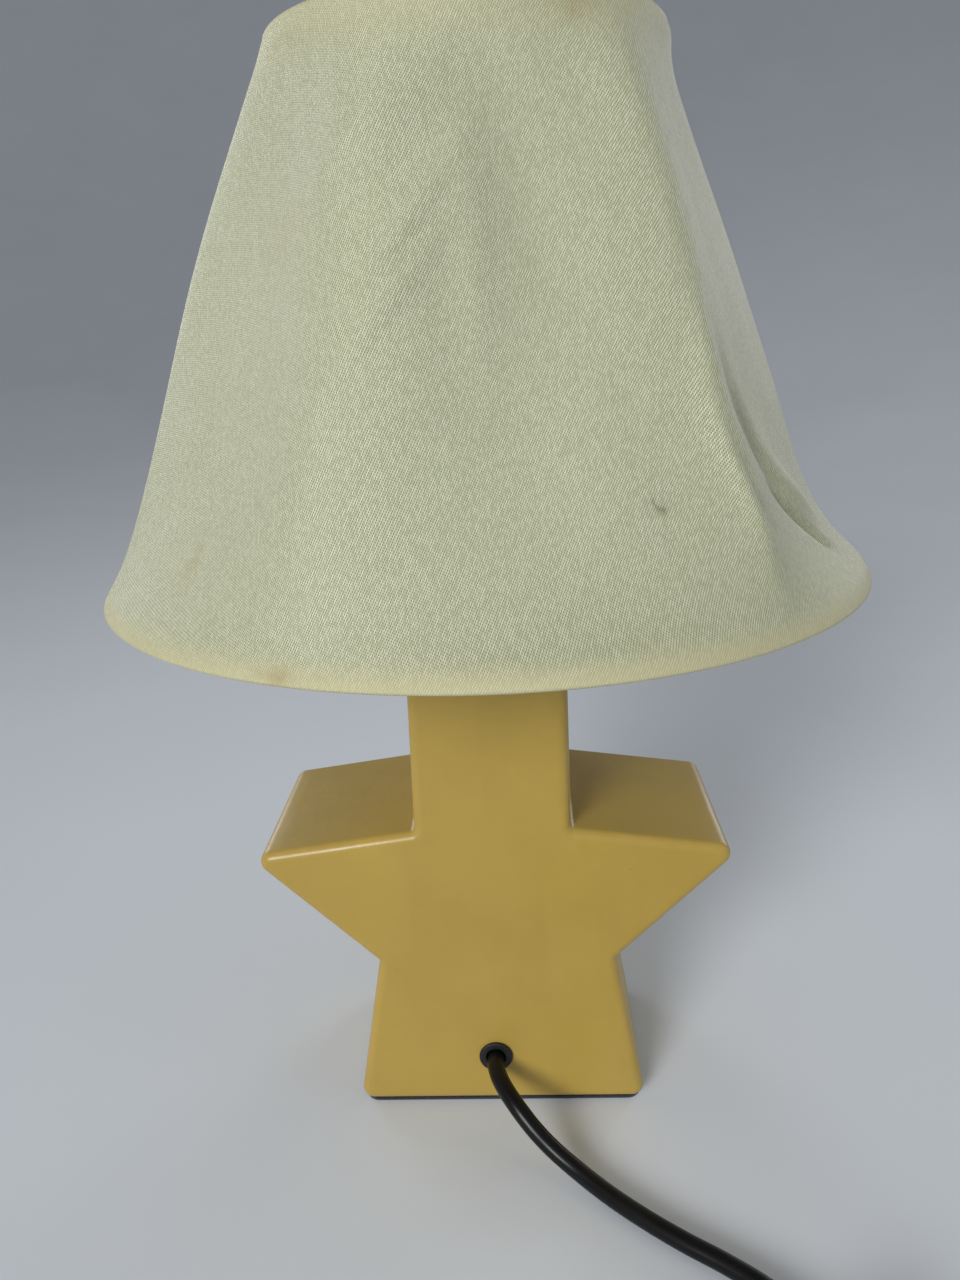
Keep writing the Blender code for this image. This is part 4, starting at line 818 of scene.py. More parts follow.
def cream_fabric(name):
    """Satin-woven cover: threads from the UV map, thicker and thinner yarns, a yellowed hem, old stains and
    a snag from masks, a soft sheen, painted shade in the low places between threads and a painted
    highlight on the tops of the floats."""
    material, tree, shader = new_material(
        name, Sheen_Weight=0.08, Sheen_Roughness=0.4, Sheen_Tint=(1.0, 0.97, 0.86, 1.0),
        Specular_IOR_Level=0.5)
    place = object_place(tree)
    lean = (0.0, 0.0, math.radians(-8))
    turned = put(tree, "ShaderNodeMapping", {"Vector": flat_place(tree), "Rotation": lean}).outputs[0]
    weave = use(tree, "Weave", Vector=turned, Pitch=sizes().weave_pitch)
    height, top, random = (weave.outputs[key] for key in ("Height", "Top", "Random"))
    yarns = streaks(tree, place, 420.0, 0.10)
    cloth = colours().fabric
    colour = mix_of(tree, clouds(tree, place, 18.0), tone(cloth, 0.95), tone(cloth, 1.05))
    colour = mix_of(tree, range_of(tree, yarns, 0.35, 0.65, 0.0, 0.22), colour, tone(cloth, 0.86))
    colour = mix_of(tree, random, tone(cloth, 0.86), colour)
    # Painted shade: the low places between the threads are darkened.
    colour = mix_of(tree, range_of(tree, height, 0.0, 0.9, 0.85, 0.0), colour, tone(cloth, 0.36))
    # Painted highlight: the tops of the satin floats are mixed towards a pale whitish cream.
    painted_float_highlight = math_of(tree, "MULTIPLY", top, range_of(tree, random, 0.2, 1.0, 0.2, 0.8))
    colour = mix_of(tree, painted_float_highlight, colour, (0.85, 0.86, 0.66))
    colour = mix_of(tree, math_of(tree, "MULTIPLY", mask(tree, "hem"), 0.6), colour, colours().hem)
    stain = math_of(tree, "MULTIPLY", mask(tree, "stain"), clouds(tree, place, 260.0, 0.3, 1.0))
    colour = mix_of(tree, stain, colour, (0.34, 0.22, 0.07))
    colour = mix_of(tree, mask(tree, "snag"), colour, (0.10, 0.07, 0.03))
    tree.links.new(colour, shader.inputs["Base Color"])
    tree.links.new(range_of(tree, top, 0.0, 0.8, 0.66, 0.40), shader.inputs["Roughness"])
    soft = bump(tree, shader, yarns, 0.15, 0.0002)
    bump(tree, shader, height, 0.45, 0.00025, soft)
    return material


def moulded(name, colour, rough, grain, depth, dust=0.0, **values):
    """A moulded piece: faint clouds in its colour, a fine grain in its surface, and pale dust specks."""
    material, tree, shader = new_material(name, **values)
    place = object_place(tree)
    tint = mix_of(tree, clouds(tree, place, 60.0), tone(colour, 0.90), tone(colour, 1.10))
    if dust:
        dusty = math_of(tree, "MULTIPLY", specks(tree, place, 900.0, 0.12, 0.10), dust)
        tint = mix_of(tree, dusty, tint, (0.45, 0.44, 0.42))
    tree.links.new(tint, shader.inputs["Base Color"])
    tree.links.new(clouds(tree, place, 130.0, rough - 0.06, rough + 0.08), shader.inputs["Roughness"])
    bump(tree, shader, clouds(tree, place, grain), 0.25, depth)
    return material


def metal(name, colour, rough, scale, tarnish, dull):
    """A worked metal: fine streaks in its gloss and surface, and patches of tarnish in its colour."""
    material, tree, shader = new_material(name, Metallic=1.0)
    place = object_place(tree)
    patches = clouds(tree, place, 150.0, 0.0, tarnish)
    tree.links.new(mix_of(tree, patches, colour, dull), shader.inputs["Base Color"])
    lines = streaks(tree, place, scale, 0.08)
    tree.links.new(range_of(tree, lines, 0.3, 0.7, rough - 0.08, rough + 0.12), shader.inputs["Roughness"])
    bump(tree, shader, lines, 0.10, 0.0001)
    return material


def black_pvc(name):
    """Smooth sheath of the lead, with the draw lines and scuffs that handling leaves along it."""
    material, tree, shader = new_material(name, Specular_IOR_Level=0.24)
    place = object_place(tree)
    black = colours().black
    colour = mix_of(tree, clouds(tree, place, 90.0), tone(black, 0.8), tone(black, 1.5))
    scuff = math_of(tree, "MULTIPLY", specks(tree, place, 700.0, 0.12, 0.08), 0.20)
    tree.links.new(mix_of(tree, scuff, colour, (0.12, 0.12, 0.12)), shader.inputs["Base Color"])
    drawn = put(tree, "ShaderNodeMapping", {"Vector": flat_place(tree), "Scale": (1.0, 0.04, 1.0)})
    lines = clouds(tree, drawn.outputs[0], 900.0)
    tree.links.new(range_of(tree, lines, 0.0, 1.0, 0.24, 0.36), shader.inputs["Roughness"])
    bump(tree, shader, lines, 0.08, 0.0001)
    return material


def black_felt(name):
    """Pressed felt: short fibres as fine noise, with lint."""
    material, tree, shader = new_material(name, Sheen_Weight=0.4, Roughness=0.95)
    place = object_place(tree)
    fibres = clouds(tree, place, 1400.0)
    colour = mix_of(tree, fibres, (0.006, 0.006, 0.007), (0.028, 0.028, 0.030))
    lint = math_of(tree, "MULTIPLY", specks(tree, place, 520.0, 0.12, 0.2), 0.5)
    tree.links.new(mix_of(tree, lint, colour, (0.22, 0.21, 0.19)), shader.inputs["Base Color"])
    bump(tree, shader, fibres, 0.6, 0.0002)
    return material


def clear_glass(name):
    """Thin clear lamp glass, with a faint ripple."""
    material, tree, shader = new_material(
        name, Roughness=0.02, IOR=1.46, Transmission_Weight=1.0, Base_Color=(0.97, 0.98, 0.98, 1.0))
    bump(tree, shader, clouds(tree, object_place(tree), 60.0), 0.04, 0.0002)
    return material


def black_rubber(name):
    """Matt moulded rubber."""
    return moulded(name, colours().black, 0.58, 1600.0, 0.00012, 0.25)


def black_plastic(name):
    """Fine-textured moulded plastic."""
    return moulded(name, tone(colours().black, 1.4), 0.42, 2200.0, 0.00010, 0.12)


def white_nylon(name):
    """Milky nylon."""
    return moulded(name, (0.78, 0.77, 0.71), 0.45, 900.0, 0.00005, 0.0, Subsurface_Weight=0.1)


def white_holder(name):
    """Off-white thermoset moulding, glossy."""
    return moulded(name, colours().white, 0.32, 500.0, 0.00004)


def porcelain(name):
    """Fired white porcelain."""
    return moulded(name, (0.84, 0.83, 0.78), 0.24, 300.0, 0.00006, 0.0, Coat_Weight=0.3)


def white_wire(name):
    """Powder-coated wire."""
    return moulded(name, tone(colours().white, 1.03), 0.40, 1300.0, 0.00012)


def brown_core(name):
    """Brown insulation."""
    return moulded(name, (0.14, 0.050, 0.020), 0.40, 900.0, 0.00004)


def blue_core(name):
    """Blue insulation."""
    return moulded(name, (0.020, 0.085, 0.36), 0.40, 900.0, 0.00004)


def tie_paper(name):
    """Paper strip with a wire in it."""
    return moulded(name, (0.70, 0.69, 0.66), 0.66, 1500.0, 0.00015, 0.2)


def zinc_steel(name):
    """Zinc-plated steel."""
    return metal(name, colours().steel, 0.34, 900.0, 0.5, (0.40, 0.41, 0.42))


def brass(name):
    """Bright brass."""
    return metal(name, colours().brass, 0.28, 900.0, 0.5, (0.42, 0.27, 0.10))


def nickel(name):
    """Nickel plate."""
    return metal(name, (0.68, 0.66, 0.62), 0.22, 1200.0, 0.35, (0.50, 0.47, 0.42))


def tin_cap(name):
    """Pressed aluminium."""
    return metal(name, (0.68, 0.68, 0.67), 0.30, 1000.0, 0.45, (0.50, 0.50, 0.49))


def solder(name):
    """Dull solder."""
    return metal(name, (0.54, 0.55, 0.56), 0.40, 700.0, 0.7, (0.34, 0.34, 0.35))


def tungsten(name):
    """Drawn tungsten."""
    return metal(name, (0.30, 0.29, 0.28), 0.42, 2000.0, 0.4, (0.20, 0.19, 0.19))


FINISHES = [
    yellow_glaze, black_felt, black_rubber, black_pvc, black_plastic, white_nylon, zinc_steel, brass,
    white_holder, porcelain, brown_core, blue_core, clear_glass, tin_cap, solder, tungsten, cream_fabric,
    white_wire, nickel, tie_paper,
]


# Shade


def shade_radius(height):
    """The cover's outer radius at a height: a cone with a slight swell and a flared lower edge."""
    share = height / SHADE_HEIGHT
    cone = SHADE_BELL_R + (SHADE_TOP_R - SHADE_BELL_R) * share
    return cone + SHADE_SWELL * np.sin(math.pi * share) + SHADE_FLARE * np.exp(-height / SHADE_FLARE_H)


def turn_from(angle, middle):
    """An angle's turn from another, the short way round."""
    return np.mod(angle - middle + math.pi, 2 * math.pi) - math.pi


def round_cover(angle, height, middle):
    """Distance in mm round the cover from an angle, at a height."""
    return turn_from(angle, middle) * shade_radius(height) * 1000


def panel_share(height):
    """How far the fabric between two ribs has drawn in towards their chord at a height."""
    low = np.maximum(height - RING_ZONE, 0)
    high = np.maximum(SHADE_HEIGHT - RING_ZONE - height, 0)
    eased = (1 - np.exp(-low / PANEL_EASE_LOW)) * (1 - np.exp(-high / PANEL_EASE_HIGH))
    return sizes().panel_flatness * eased


def panel_factor(angle, height):
    """Radius over the round one: the chord's cos(half) / cos(angle off the panel's middle), with the
    ridge at each rib rounded over the wire, most of all on the soft rib and towards the top."""
    half = math.pi / RIBS
    from_soft = turn_from(angle, SHADE_SOFT_RIB)
    ridge = 0.022 + 0.17 * np.exp(-((from_soft / 0.6) ** 2)) + 0.08 * ramp(height, 0.055, 0.095)
    from_rib = half - np.abs(np.mod(angle - SHADE_TURN, 2 * half) - half)
    eased = np.sqrt(from_rib ** 2 + ridge ** 2) - ridge
    furthest = np.sqrt(half ** 2 + ridge ** 2) - ridge
    chord = math.cos(half) / np.cos(half * (1 - eased / furthest))
    return 1 - panel_share(height) * (1 - chord)


def fold_lift(angle, height):
    """Sum of the folds: each is a ridge whose height falls off as a bell curve with the distance from
    its line, measured on the cover, and fades out at the line's ends."""
    lift = np.zeros(np.broadcast(angle, height).shape)
    for line, ridge, width in FOLDS:
        best = np.full(lift.shape, 1e9)
        fade = np.zeros(lift.shape)
        spans = len(line) - 1
        for number in range(spans):
            (a0, h0), (a1, h1) = line[number], line[number + 1]
            middle = math.radians((a0 + a1) / 2)
            x = round_cover(angle, height, middle)
            y = height * 1000 - (h0 + h1) / 2
            step = np.array([math.radians(a1 - a0) * float(shade_radius((h0 + h1) / 2000)) * 1000, h1 - h0])
            size = np.hypot(*step)
            t = np.clip((x * step[0] + y * step[1]) / size ** 2, -0.5, 0.5)
            distance = np.hypot(x - t * step[0], y - t * step[1])
            share = (number + t + 0.5) / spans
            nearer = distance < best
            best = np.where(nearer, distance, best)
            fade = np.where(nearer, np.sin(math.pi * np.clip(share * 0.86 + 0.07, 0, 1)), fade)
        lift += ridge / 1000 * fade * np.exp(-((best / width) ** 2))
    return lift * sizes().fold_height


def slack_lift(angle, height):
    """Loose waves of the fabric, a few of them round the shade and up it, none at the rings."""
    waves = (
        0.30 * np.sin(5 * angle + 34 * height)
        + 0.22 * np.sin(9 * angle - 52 * height + 1.3)
        + 0.14 * np.sin(17 * angle + 90 * height + 0.4)
    )
    return waves / 1000 * np.minimum(panel_share(height), 1)


def lap_lift(angle, height):
    """The seam at the back: one edge laps over the other by 8 mm, so the outer face steps up and down."""
    x = round_cover(angle, height, SHADE_SEAM)
    return 0.0006 * (ramp(x, -1.2, 0.0) - ramp(x, 7.0, 9.0))


def cover_radius(angle, height):
    """The finished cover's outer radius."""
    hold = ramp(height, 0.002, 0.014) * ramp(SHADE_HEIGHT - height, 0.003, 0.014)
    base = shade_radius(height) * panel_factor(angle, height) + lap_lift(angle, height)
    return base + fold_lift(angle, height) * ramp(height, 0.003, 0.010) + slack_lift(angle, height) * hold


def wire_radius(height, wire_r):
    """The largest radius at each height for the middle of a wire that stays a gap inside the cover."""
    height = np.atleast_1d(height)
    need = wire_r + GAP
    near = np.clip(height[:, None] + np.linspace(-need, need, 41), 0, SHADE_HEIGHT)
    inner = shade_radius(near) - COVER_ACROSS
    return np.min(inner - np.sqrt(np.maximum(need ** 2 - (near - height[:, None]) ** 2, 0)), axis=1)


def cover_section():
    """The cover's path up one side, as rows of (height, side): side is -1 on the inner face of a ring and
    1 on the outer face. It runs in behind the lower ring, round under it with a tight squared turn, up the
    outside, over the upper ring in a round turn, and in behind that."""
    ring_h = RING_R + GAP
    snug = RING_R + 0.0006
    behind = 0.0046
    turn = np.linspace(-math.pi, 0, 15)
    square = 0.55
    low_side = np.sign(np.cos(turn)) * np.abs(np.cos(turn)) ** square
    low_height = ring_h - snug * np.abs(np.sin(turn)) ** square
    over = np.linspace(0, math.pi, 15)
    top = SHADE_HEIGHT - ring_h
    side = np.linspace(ring_h, top, 97)[1:-1]
    height = np.concatenate([
        np.linspace(behind, ring_h, 4)[:-1], low_height, side, top + snug * np.sin(over),
        np.linspace(top, SHADE_HEIGHT - behind, 4)[1:]])
    share = np.concatenate([np.full(3, -1.0), low_side, np.ones(len(side)), np.cos(over), np.full(3, -1.0)])
    return np.stack([height, share], axis=1)


def cover_angles():
    """Angles round the cover from its seam, closest together on the front where the folds are: an even
    turn plus a sine of itself."""
    t = np.linspace(0, 1, 325)
    front = 0.114
    crowd = np.sin(2 * math.pi * (t - front)) + math.sin(2 * math.pi * front)
    return SHADE_SEAM + 2 * math.pi * t + 0.45 * crowd


def shade_fabric():
    """The cover's grid: at each angle the section above, with the radius of the panelled cover on its
    outside and of the ring's inner side where the hem turns in. Its UVs are the flat cut, a sector of a
    ring, so that threads keep their size."""
    section = cover_section()
    angle = cover_angles()
    height = section[:, 0][:, None]
    outer = cover_radius(angle[None, :], np.clip(height, 0.0005, SHADE_HEIGHT - 0.0019))
    ring_low = wire_radius(RING_R + GAP, RING_R)
    ring_high = wire_radius(SHADE_HEIGHT - RING_R - GAP, RING_R)
    ring = np.where(height < SHADE_HEIGHT / 2, ring_low, ring_high)
    inner = np.minimum(ring - RING_R - 0.0009, outer - 0.0016)
    r = inner + (outer - inner) * (section[:, 1][:, None] + 1) / 2
    z = np.broadcast_to(height, r.shape) + SHADE_Z
    points = np.stack([r * np.cos(angle), r * np.sin(angle), z], axis=2)
    run = run_of(points[:, 0])
    away = (SHADE_BELL_R / math.sin(SHADE_SLOPE) + run[5] - run)[:, None]
    spread = (angle - angle[0] - math.pi)[None, :] * math.sin(SHADE_SLOPE)
    uv = np.stack([away * np.sin(spread), -away * np.cos(spread)], axis=2)
    return points[:, :-1], uv, angle[:-1], section


def marks(angle, height, spots):
    """Soft spots on the cover: each its strength times a bell curve of the distance from its place."""
    total = np.zeros(angle.shape)
    for strength, (at, up), (wide, high) in spots:
        x = round_cover(angle, height, math.radians(at))
        y = height * 1000 - up
        total = total + strength * np.exp(-((x / wide) ** 2 + (y / high) ** 2))
    return total


# Stage and pieces


class LAMP_OT_stage(bpy.types.Operator):
    """Pale table and backdrop, soft studio light and the camera of the photograph"""

    bl_idname = "lamp.stage"
    bl_label = "Stage"

    def execute(self, context):
        scene = context.scene
        scene.view_settings.view_transform = "Standard"
        self.backdrop()
        scene.camera = self.camera()
        for name, (place, side, power) in LIGHTS.items():
            self.light(name, np.array(place), side, power)
        world = bpy.data.worlds.new("soft_room")
        world.use_nodes = True
        sky = world.node_tree.nodes["Background"]
        sky.inputs["Color"].default_value = SKY_COLOUR
        sky.inputs["Strength"].default_value = SKY_STRENGTH
        scene.world = world
        return {"FINISHED"}

    def stand(self, name, data, place, right, up, back):
        """An object at a place, with its own x, y and z along three directions."""
        thing = bpy.data.objects.new(name, data)
        turn = np.eye(4)
        turn[:3] = np.stack([right, up, back, place], axis=1)
        thing.matrix_world = Matrix(turn.tolist())
        bpy.context.scene.collection.objects.link(thing)
        return thing

    def backdrop(self):
        """A round table that rises all round in a wide bowl: a level middle, then a height that grows with
        the square of the distance from it, turned about Z."""
        reach = np.linspace(0, 1, 30)
        line = np.stack([1.0 + 3.6 * reach, 2.8 * reach ** 2], axis=1)
        shape = lathe(np.concatenate([[[0.001, 0.0], [0.4, 0.0]], line]), 96, closed=False)
        shape = shape._replace(quads=shape.quads[:, ::-1], uvs=shape.uvs[:, ::-1], caps=[])
        material, tree, shader = new_material("table_top", Roughness=0.8, Specular_IOR_Level=0.15)
        floor = colours().floor
        tint = mix_of(tree, clouds(tree, object_place(tree), 6.0), tone(floor, 0.985), tone(floor, 1.015))
        tree.links.new(tint, shader.inputs["Base Color"])
        mesh = mesh_of("table", shape)
        mesh.materials.append(material)
        table = bpy.data.objects.new("table", mesh)
        bpy.context.scene.collection.objects.link(table)

    def camera(self):
        """The camera found from the photograph: a turn, a dip and a roll, 1000 pixels focal length."""
        yaw, dip, roll = CAMERA_TURNS
        ahead = np.array([math.sin(yaw) * math.cos(dip), math.cos(yaw) * math.cos(dip), -math.sin(dip)])
        right = np.array([math.cos(yaw), -math.sin(yaw), 0.0])
        up = np.cross(right, ahead)
        across = math.cos(roll) * right + math.sin(roll) * up
        lift = -math.sin(roll) * right + math.cos(roll) * up
        data = bpy.data.cameras.new("photo_camera")
        data.sensor_width = CAMERA_SENSOR
        data.lens = CAMERA_LENS
        data.clip_start = 0.005
        return self.stand("photo_camera", data, CAMERA_PLACE, across, lift, -ahead)

    def light(self, name, place, side, power):
        """A square soft light that faces the target."""
        data = bpy.data.lights.new(name, "AREA")
        data.shape = "SQUARE"
        data.size = side
        data.spread = LIGHT_SPREAD
        data.energy = power
        back = unit(place - np.array(LIGHT_TARGET))
        right = unit(np.cross((0, 0, 1), back))
        lamp = self.stand(name, data, place, right, np.cross(back, right), back)
        lamp.visible_camera = False


class LAMP_OT_shade_fabric(bpy.types.Operator):
    """Fabric cover of the shade, turned in over both rings"""

    bl_idname = "lamp.shade_fabric"
    bl_label = "Shade fabric"

    def execute(self, context):
        points, uv, angle, section = shade_fabric()
        shape = self.outward(surface(points, close_around=True, capped=False, uv=uv), points)
        mesh = mesh_of("fabric_cover", shape, 80)
        around, height = np.meshgrid(angle, section[:, 0])
        outside = ramp(np.broadcast_to(section[:, 1:2], around.shape), -0.9, 0.5)
        low = 1 - ramp(height, 0.0010, 0.0062)
        high = 1 - ramp(SHADE_HEIGHT - height, 0.002, 0.016)
        paint_mask(mesh, "hem", np.maximum(low, 0.55 * high).ravel())
        for name, spots in (("stain", STAINS), ("snag", SNAG)):
            paint_mask(mesh, name, (marks(around, height, spots) * outside).ravel())
        cover = show("fabric_cover", mesh, "shade", cream_fabric, "shade_cover")
        wall = cover.modifiers.new("thickness", "SOLIDIFY")
        wall.thickness = sizes().fabric_thickness
        wall.offset = -1.0
        return {"FINISHED"}

    def outward(self, shape, points):
        """The faces' order that points away from the axis on the outside."""
        corner = shape.points[shape.quads]
        normal = np.cross(corner[:, 2] - corner[:, 0], corner[:, 3] - corner[:, 1])
        middle = len(points) // 2 * points.shape[1]
        away = np.sum(normal[middle] * corner[middle].mean(axis=0) * np.array([1, 1, 0]))
        if away > 0:
            return shape
        return shape._replace(quads=shape.quads[:, ::-1], uvs=shape.uvs[:, ::-1])


class LAMP_OT_shade_frame(bpy.types.Operator):
    """Wire frame of the shade: rings, ribs, carrier ring and arms"""

    bl_idname = "lamp.shade_frame"
    bl_label = "Shade frame"

    def execute(self, context):
        bottom = self.ring("ring_wire_low", "shade_bottom_ring", RING_R + GAP)
        self.ring("ring_wire_high", "shade_top_ring", SHADE_HEIGHT - RING_R - GAP)
        low = 2 * RING_R + 2 * GAP + RIB_R
        room = (RIB_R + GAP) / math.cos(PANEL_FLATNESS * math.pi / RIBS) - GAP
        heights = np.linspace(low, SHADE_HEIGHT - low, 40)
        self.wires("rib_wire", "shade_rib", RIBS, SHADE_TURN, wire_radius(heights, room), heights, RIB_R)
        self.carrier()
        start = CARRIER_OUTER_R + GAP
        level = CARRIER_H + CARRIER_ACROSS / 2
        bend = [(bottom - RING_R - ARM_R - GAP, RING_R + GAP + ARM_R, 0), (start + 0.018, level - 0.003, 0),
                (start + 0.009, level, 0), (start, level, 0)]
        line = smooth_route(bend, 0.003)
        first = SHADE_TURN + ARM_BESIDE_RIB
        self.wires("arm_wire", "carrier_arm", ARMS, first, line[:, 0], line[:, 1], ARM_R)
        return {"FINISHED"}

    def ring(self, name, node, height):
        """A ring of round wire, as far out as the cover lets it be. Gives the radius of its middle."""
        middle = float(wire_radius(height, RING_R)[0])
        section = circle(RING_R, 16) + np.array([middle, SHADE_Z + height])
        dress(name, lathe(section, 180), "shade", white_wire, node)
        return middle

    def wires(self, name, node, count, first, radius, height, wire_r):
        """Wires at even turns, each in the upright plane at its angle, from radii and heights above the
        shade's edge."""
        for number in range(count):
            angle = first + number * 2 * math.pi / count
            path = np.stack([radius * math.cos(angle), radius * math.sin(angle), SHADE_Z + height], axis=1)
            shape = wire(path, wire_r, (-math.sin(angle), math.cos(angle), 0))
            dress(f"{name}_{number + 1}", shape, "shade", white_wire, f"{node}_{number + 1}")

    def carrier(self):
        """The flat carrier ring, its edges rounded as pressed sheet is."""
        low = SHADE_Z + CARRIER_H
        high = low + CARRIER_ACROSS
        corners = [(CARRIER_OUTER_R, low), (CARRIER_OUTER_R, high),
                   (CARRIER_INNER_R, high), (CARRIER_INNER_R, low)]
        dress("carrier_plate", lathe(rounded(corners, 0.0004, 4), 120), "shade", white_wire, "carrier_ring")


class LAMP_OT_star(bpy.types.Operator):
    """Glazed ceramic star, hollow and open below"""

    bl_idname = "lamp.star"
    bl_label = "Star"

    def execute(self, context):
        corners = self.corners(BODY_Z)
        outline = denser(rounded(corners, STAR_ROUNDS + STAR_ROUNDS[::-1], 9), 0.004, True)
        edge = sizes().star_edge
        half = STAR_DEPTH / 2
        levels = edge_levels(-half, half, edge, edge, 8, 0.0006)
        mesh = mesh_of("ceramic_star", placed(plate(outline, levels), axes=UPRIGHT))
        sharp = np.array(self.corners(-0.01))
        inward = inward_of(sharp)
        hollow = sharp + CERAMIC_WALL * inward
        deep = half - CERAMIC_WALL
        inside = placed(plate(rounded(hollow, 0.0012, 4), [(0, -deep), (0, deep)]), axes=UPRIGHT)
        tube_hole = placed(rod(TUBE_HOLE_R, -0.01, 0.01), (0, 0, NECK_TOP_Z))
        cord_hole = placed(rod(CORD_HOLE_R, -0.01, 0.01), CORD_HOLE, UPRIGHT)
        mesh = carve(mesh, inside, tube_hole, cord_hole)
        points = vertex_points(mesh)
        y = np.abs(points[:, 1])
        # Band on the rounded edges, for the glaze's paler line of thin glaze and painted highlight.
        paint_mask(mesh, "edge", np.clip(1 - np.abs(2 * (y - half + edge) / edge - 1.1), 0, 1))
        within = self.within(points[:, [0, 2]], sharp + (CERAMIC_WALL - 0.0002) * inward)
        bare = (within & (y < deep + 0.0002)) | (points[:, 2] < BODY_Z + 0.0006)
        paint_mask(mesh, "bare", bare)
        show("ceramic_star", mesh, "base", yellow_glaze, "star_body")
        return {"FINISHED"}

    def corners(self, bottom):
        """The star's sharp corners, anticlockwise from the right foot, with its foot at a height."""
        (foot, _), (waist, waist_z) = STAR_CORNERS[:2]
        right = [(foot + (waist - foot) * bottom / waist_z, bottom)] + STAR_CORNERS[1:]
        return right + [(-x, z) for x, z in reversed(right)]

    def within(self, points, corners):
        """Which points lie inside an outline: those with an odd number of sides to their right."""
        here = np.asarray(corners)[None]
        ahead = np.roll(here, -1, axis=1)
        x, z = points[:, :1], points[:, 1:]
        spans = (here[..., 1] > z) != (ahead[..., 1] > z)
        rise = np.where(ahead[..., 1] == here[..., 1], 1, ahead[..., 1] - here[..., 1])
        meet = here[..., 0] + (z - here[..., 1]) * (ahead[..., 0] - here[..., 0]) / rise
        return np.sum(spans & (x < meet), axis=1) % 2 == 1


class LAMP_OT_foot(bpy.types.Operator):
    """Felt pad under the star and the rubber grommet in its lead hole"""

    bl_idname = "lamp.foot"
    bl_label = "Foot and grommet"

    def execute(self, context):
        outline = rounded(oblong(STAR_CORNERS[0][0] - PAD_INSET, STAR_DEPTH / 2 - PAD_INSET), 0.0040, 8)
        pad = plate(outline, edge_levels(0.0, 0.0012, 0.0003, 0.0003, 3))
        dress("felt_pad", pad, "base", black_felt, "base_pad")
        bore, neck, flange = LEAD_ROOM_R, 0.0038, 0.0049
        corners = [(bore, 0.0011), (flange, 0.0011), (flange, 0.0003), (neck, 0.0003), (neck, -0.0053),
                   (flange, -0.0053), (flange, -0.0061), (bore, -0.0061)]
        radius = [0.0004, 0.00045, 0.0002, 0.0001, 0.0001, 0.0002, 0.0003, 0.0003]
        grommet = placed(lathe(rounded(corners, radius, 5), 72), CORD_HOLE, BACKWARD)
        dress("rubber_grommet", grommet, "base", black_rubber, "cord_grommet")
        return {"FINISHED"}


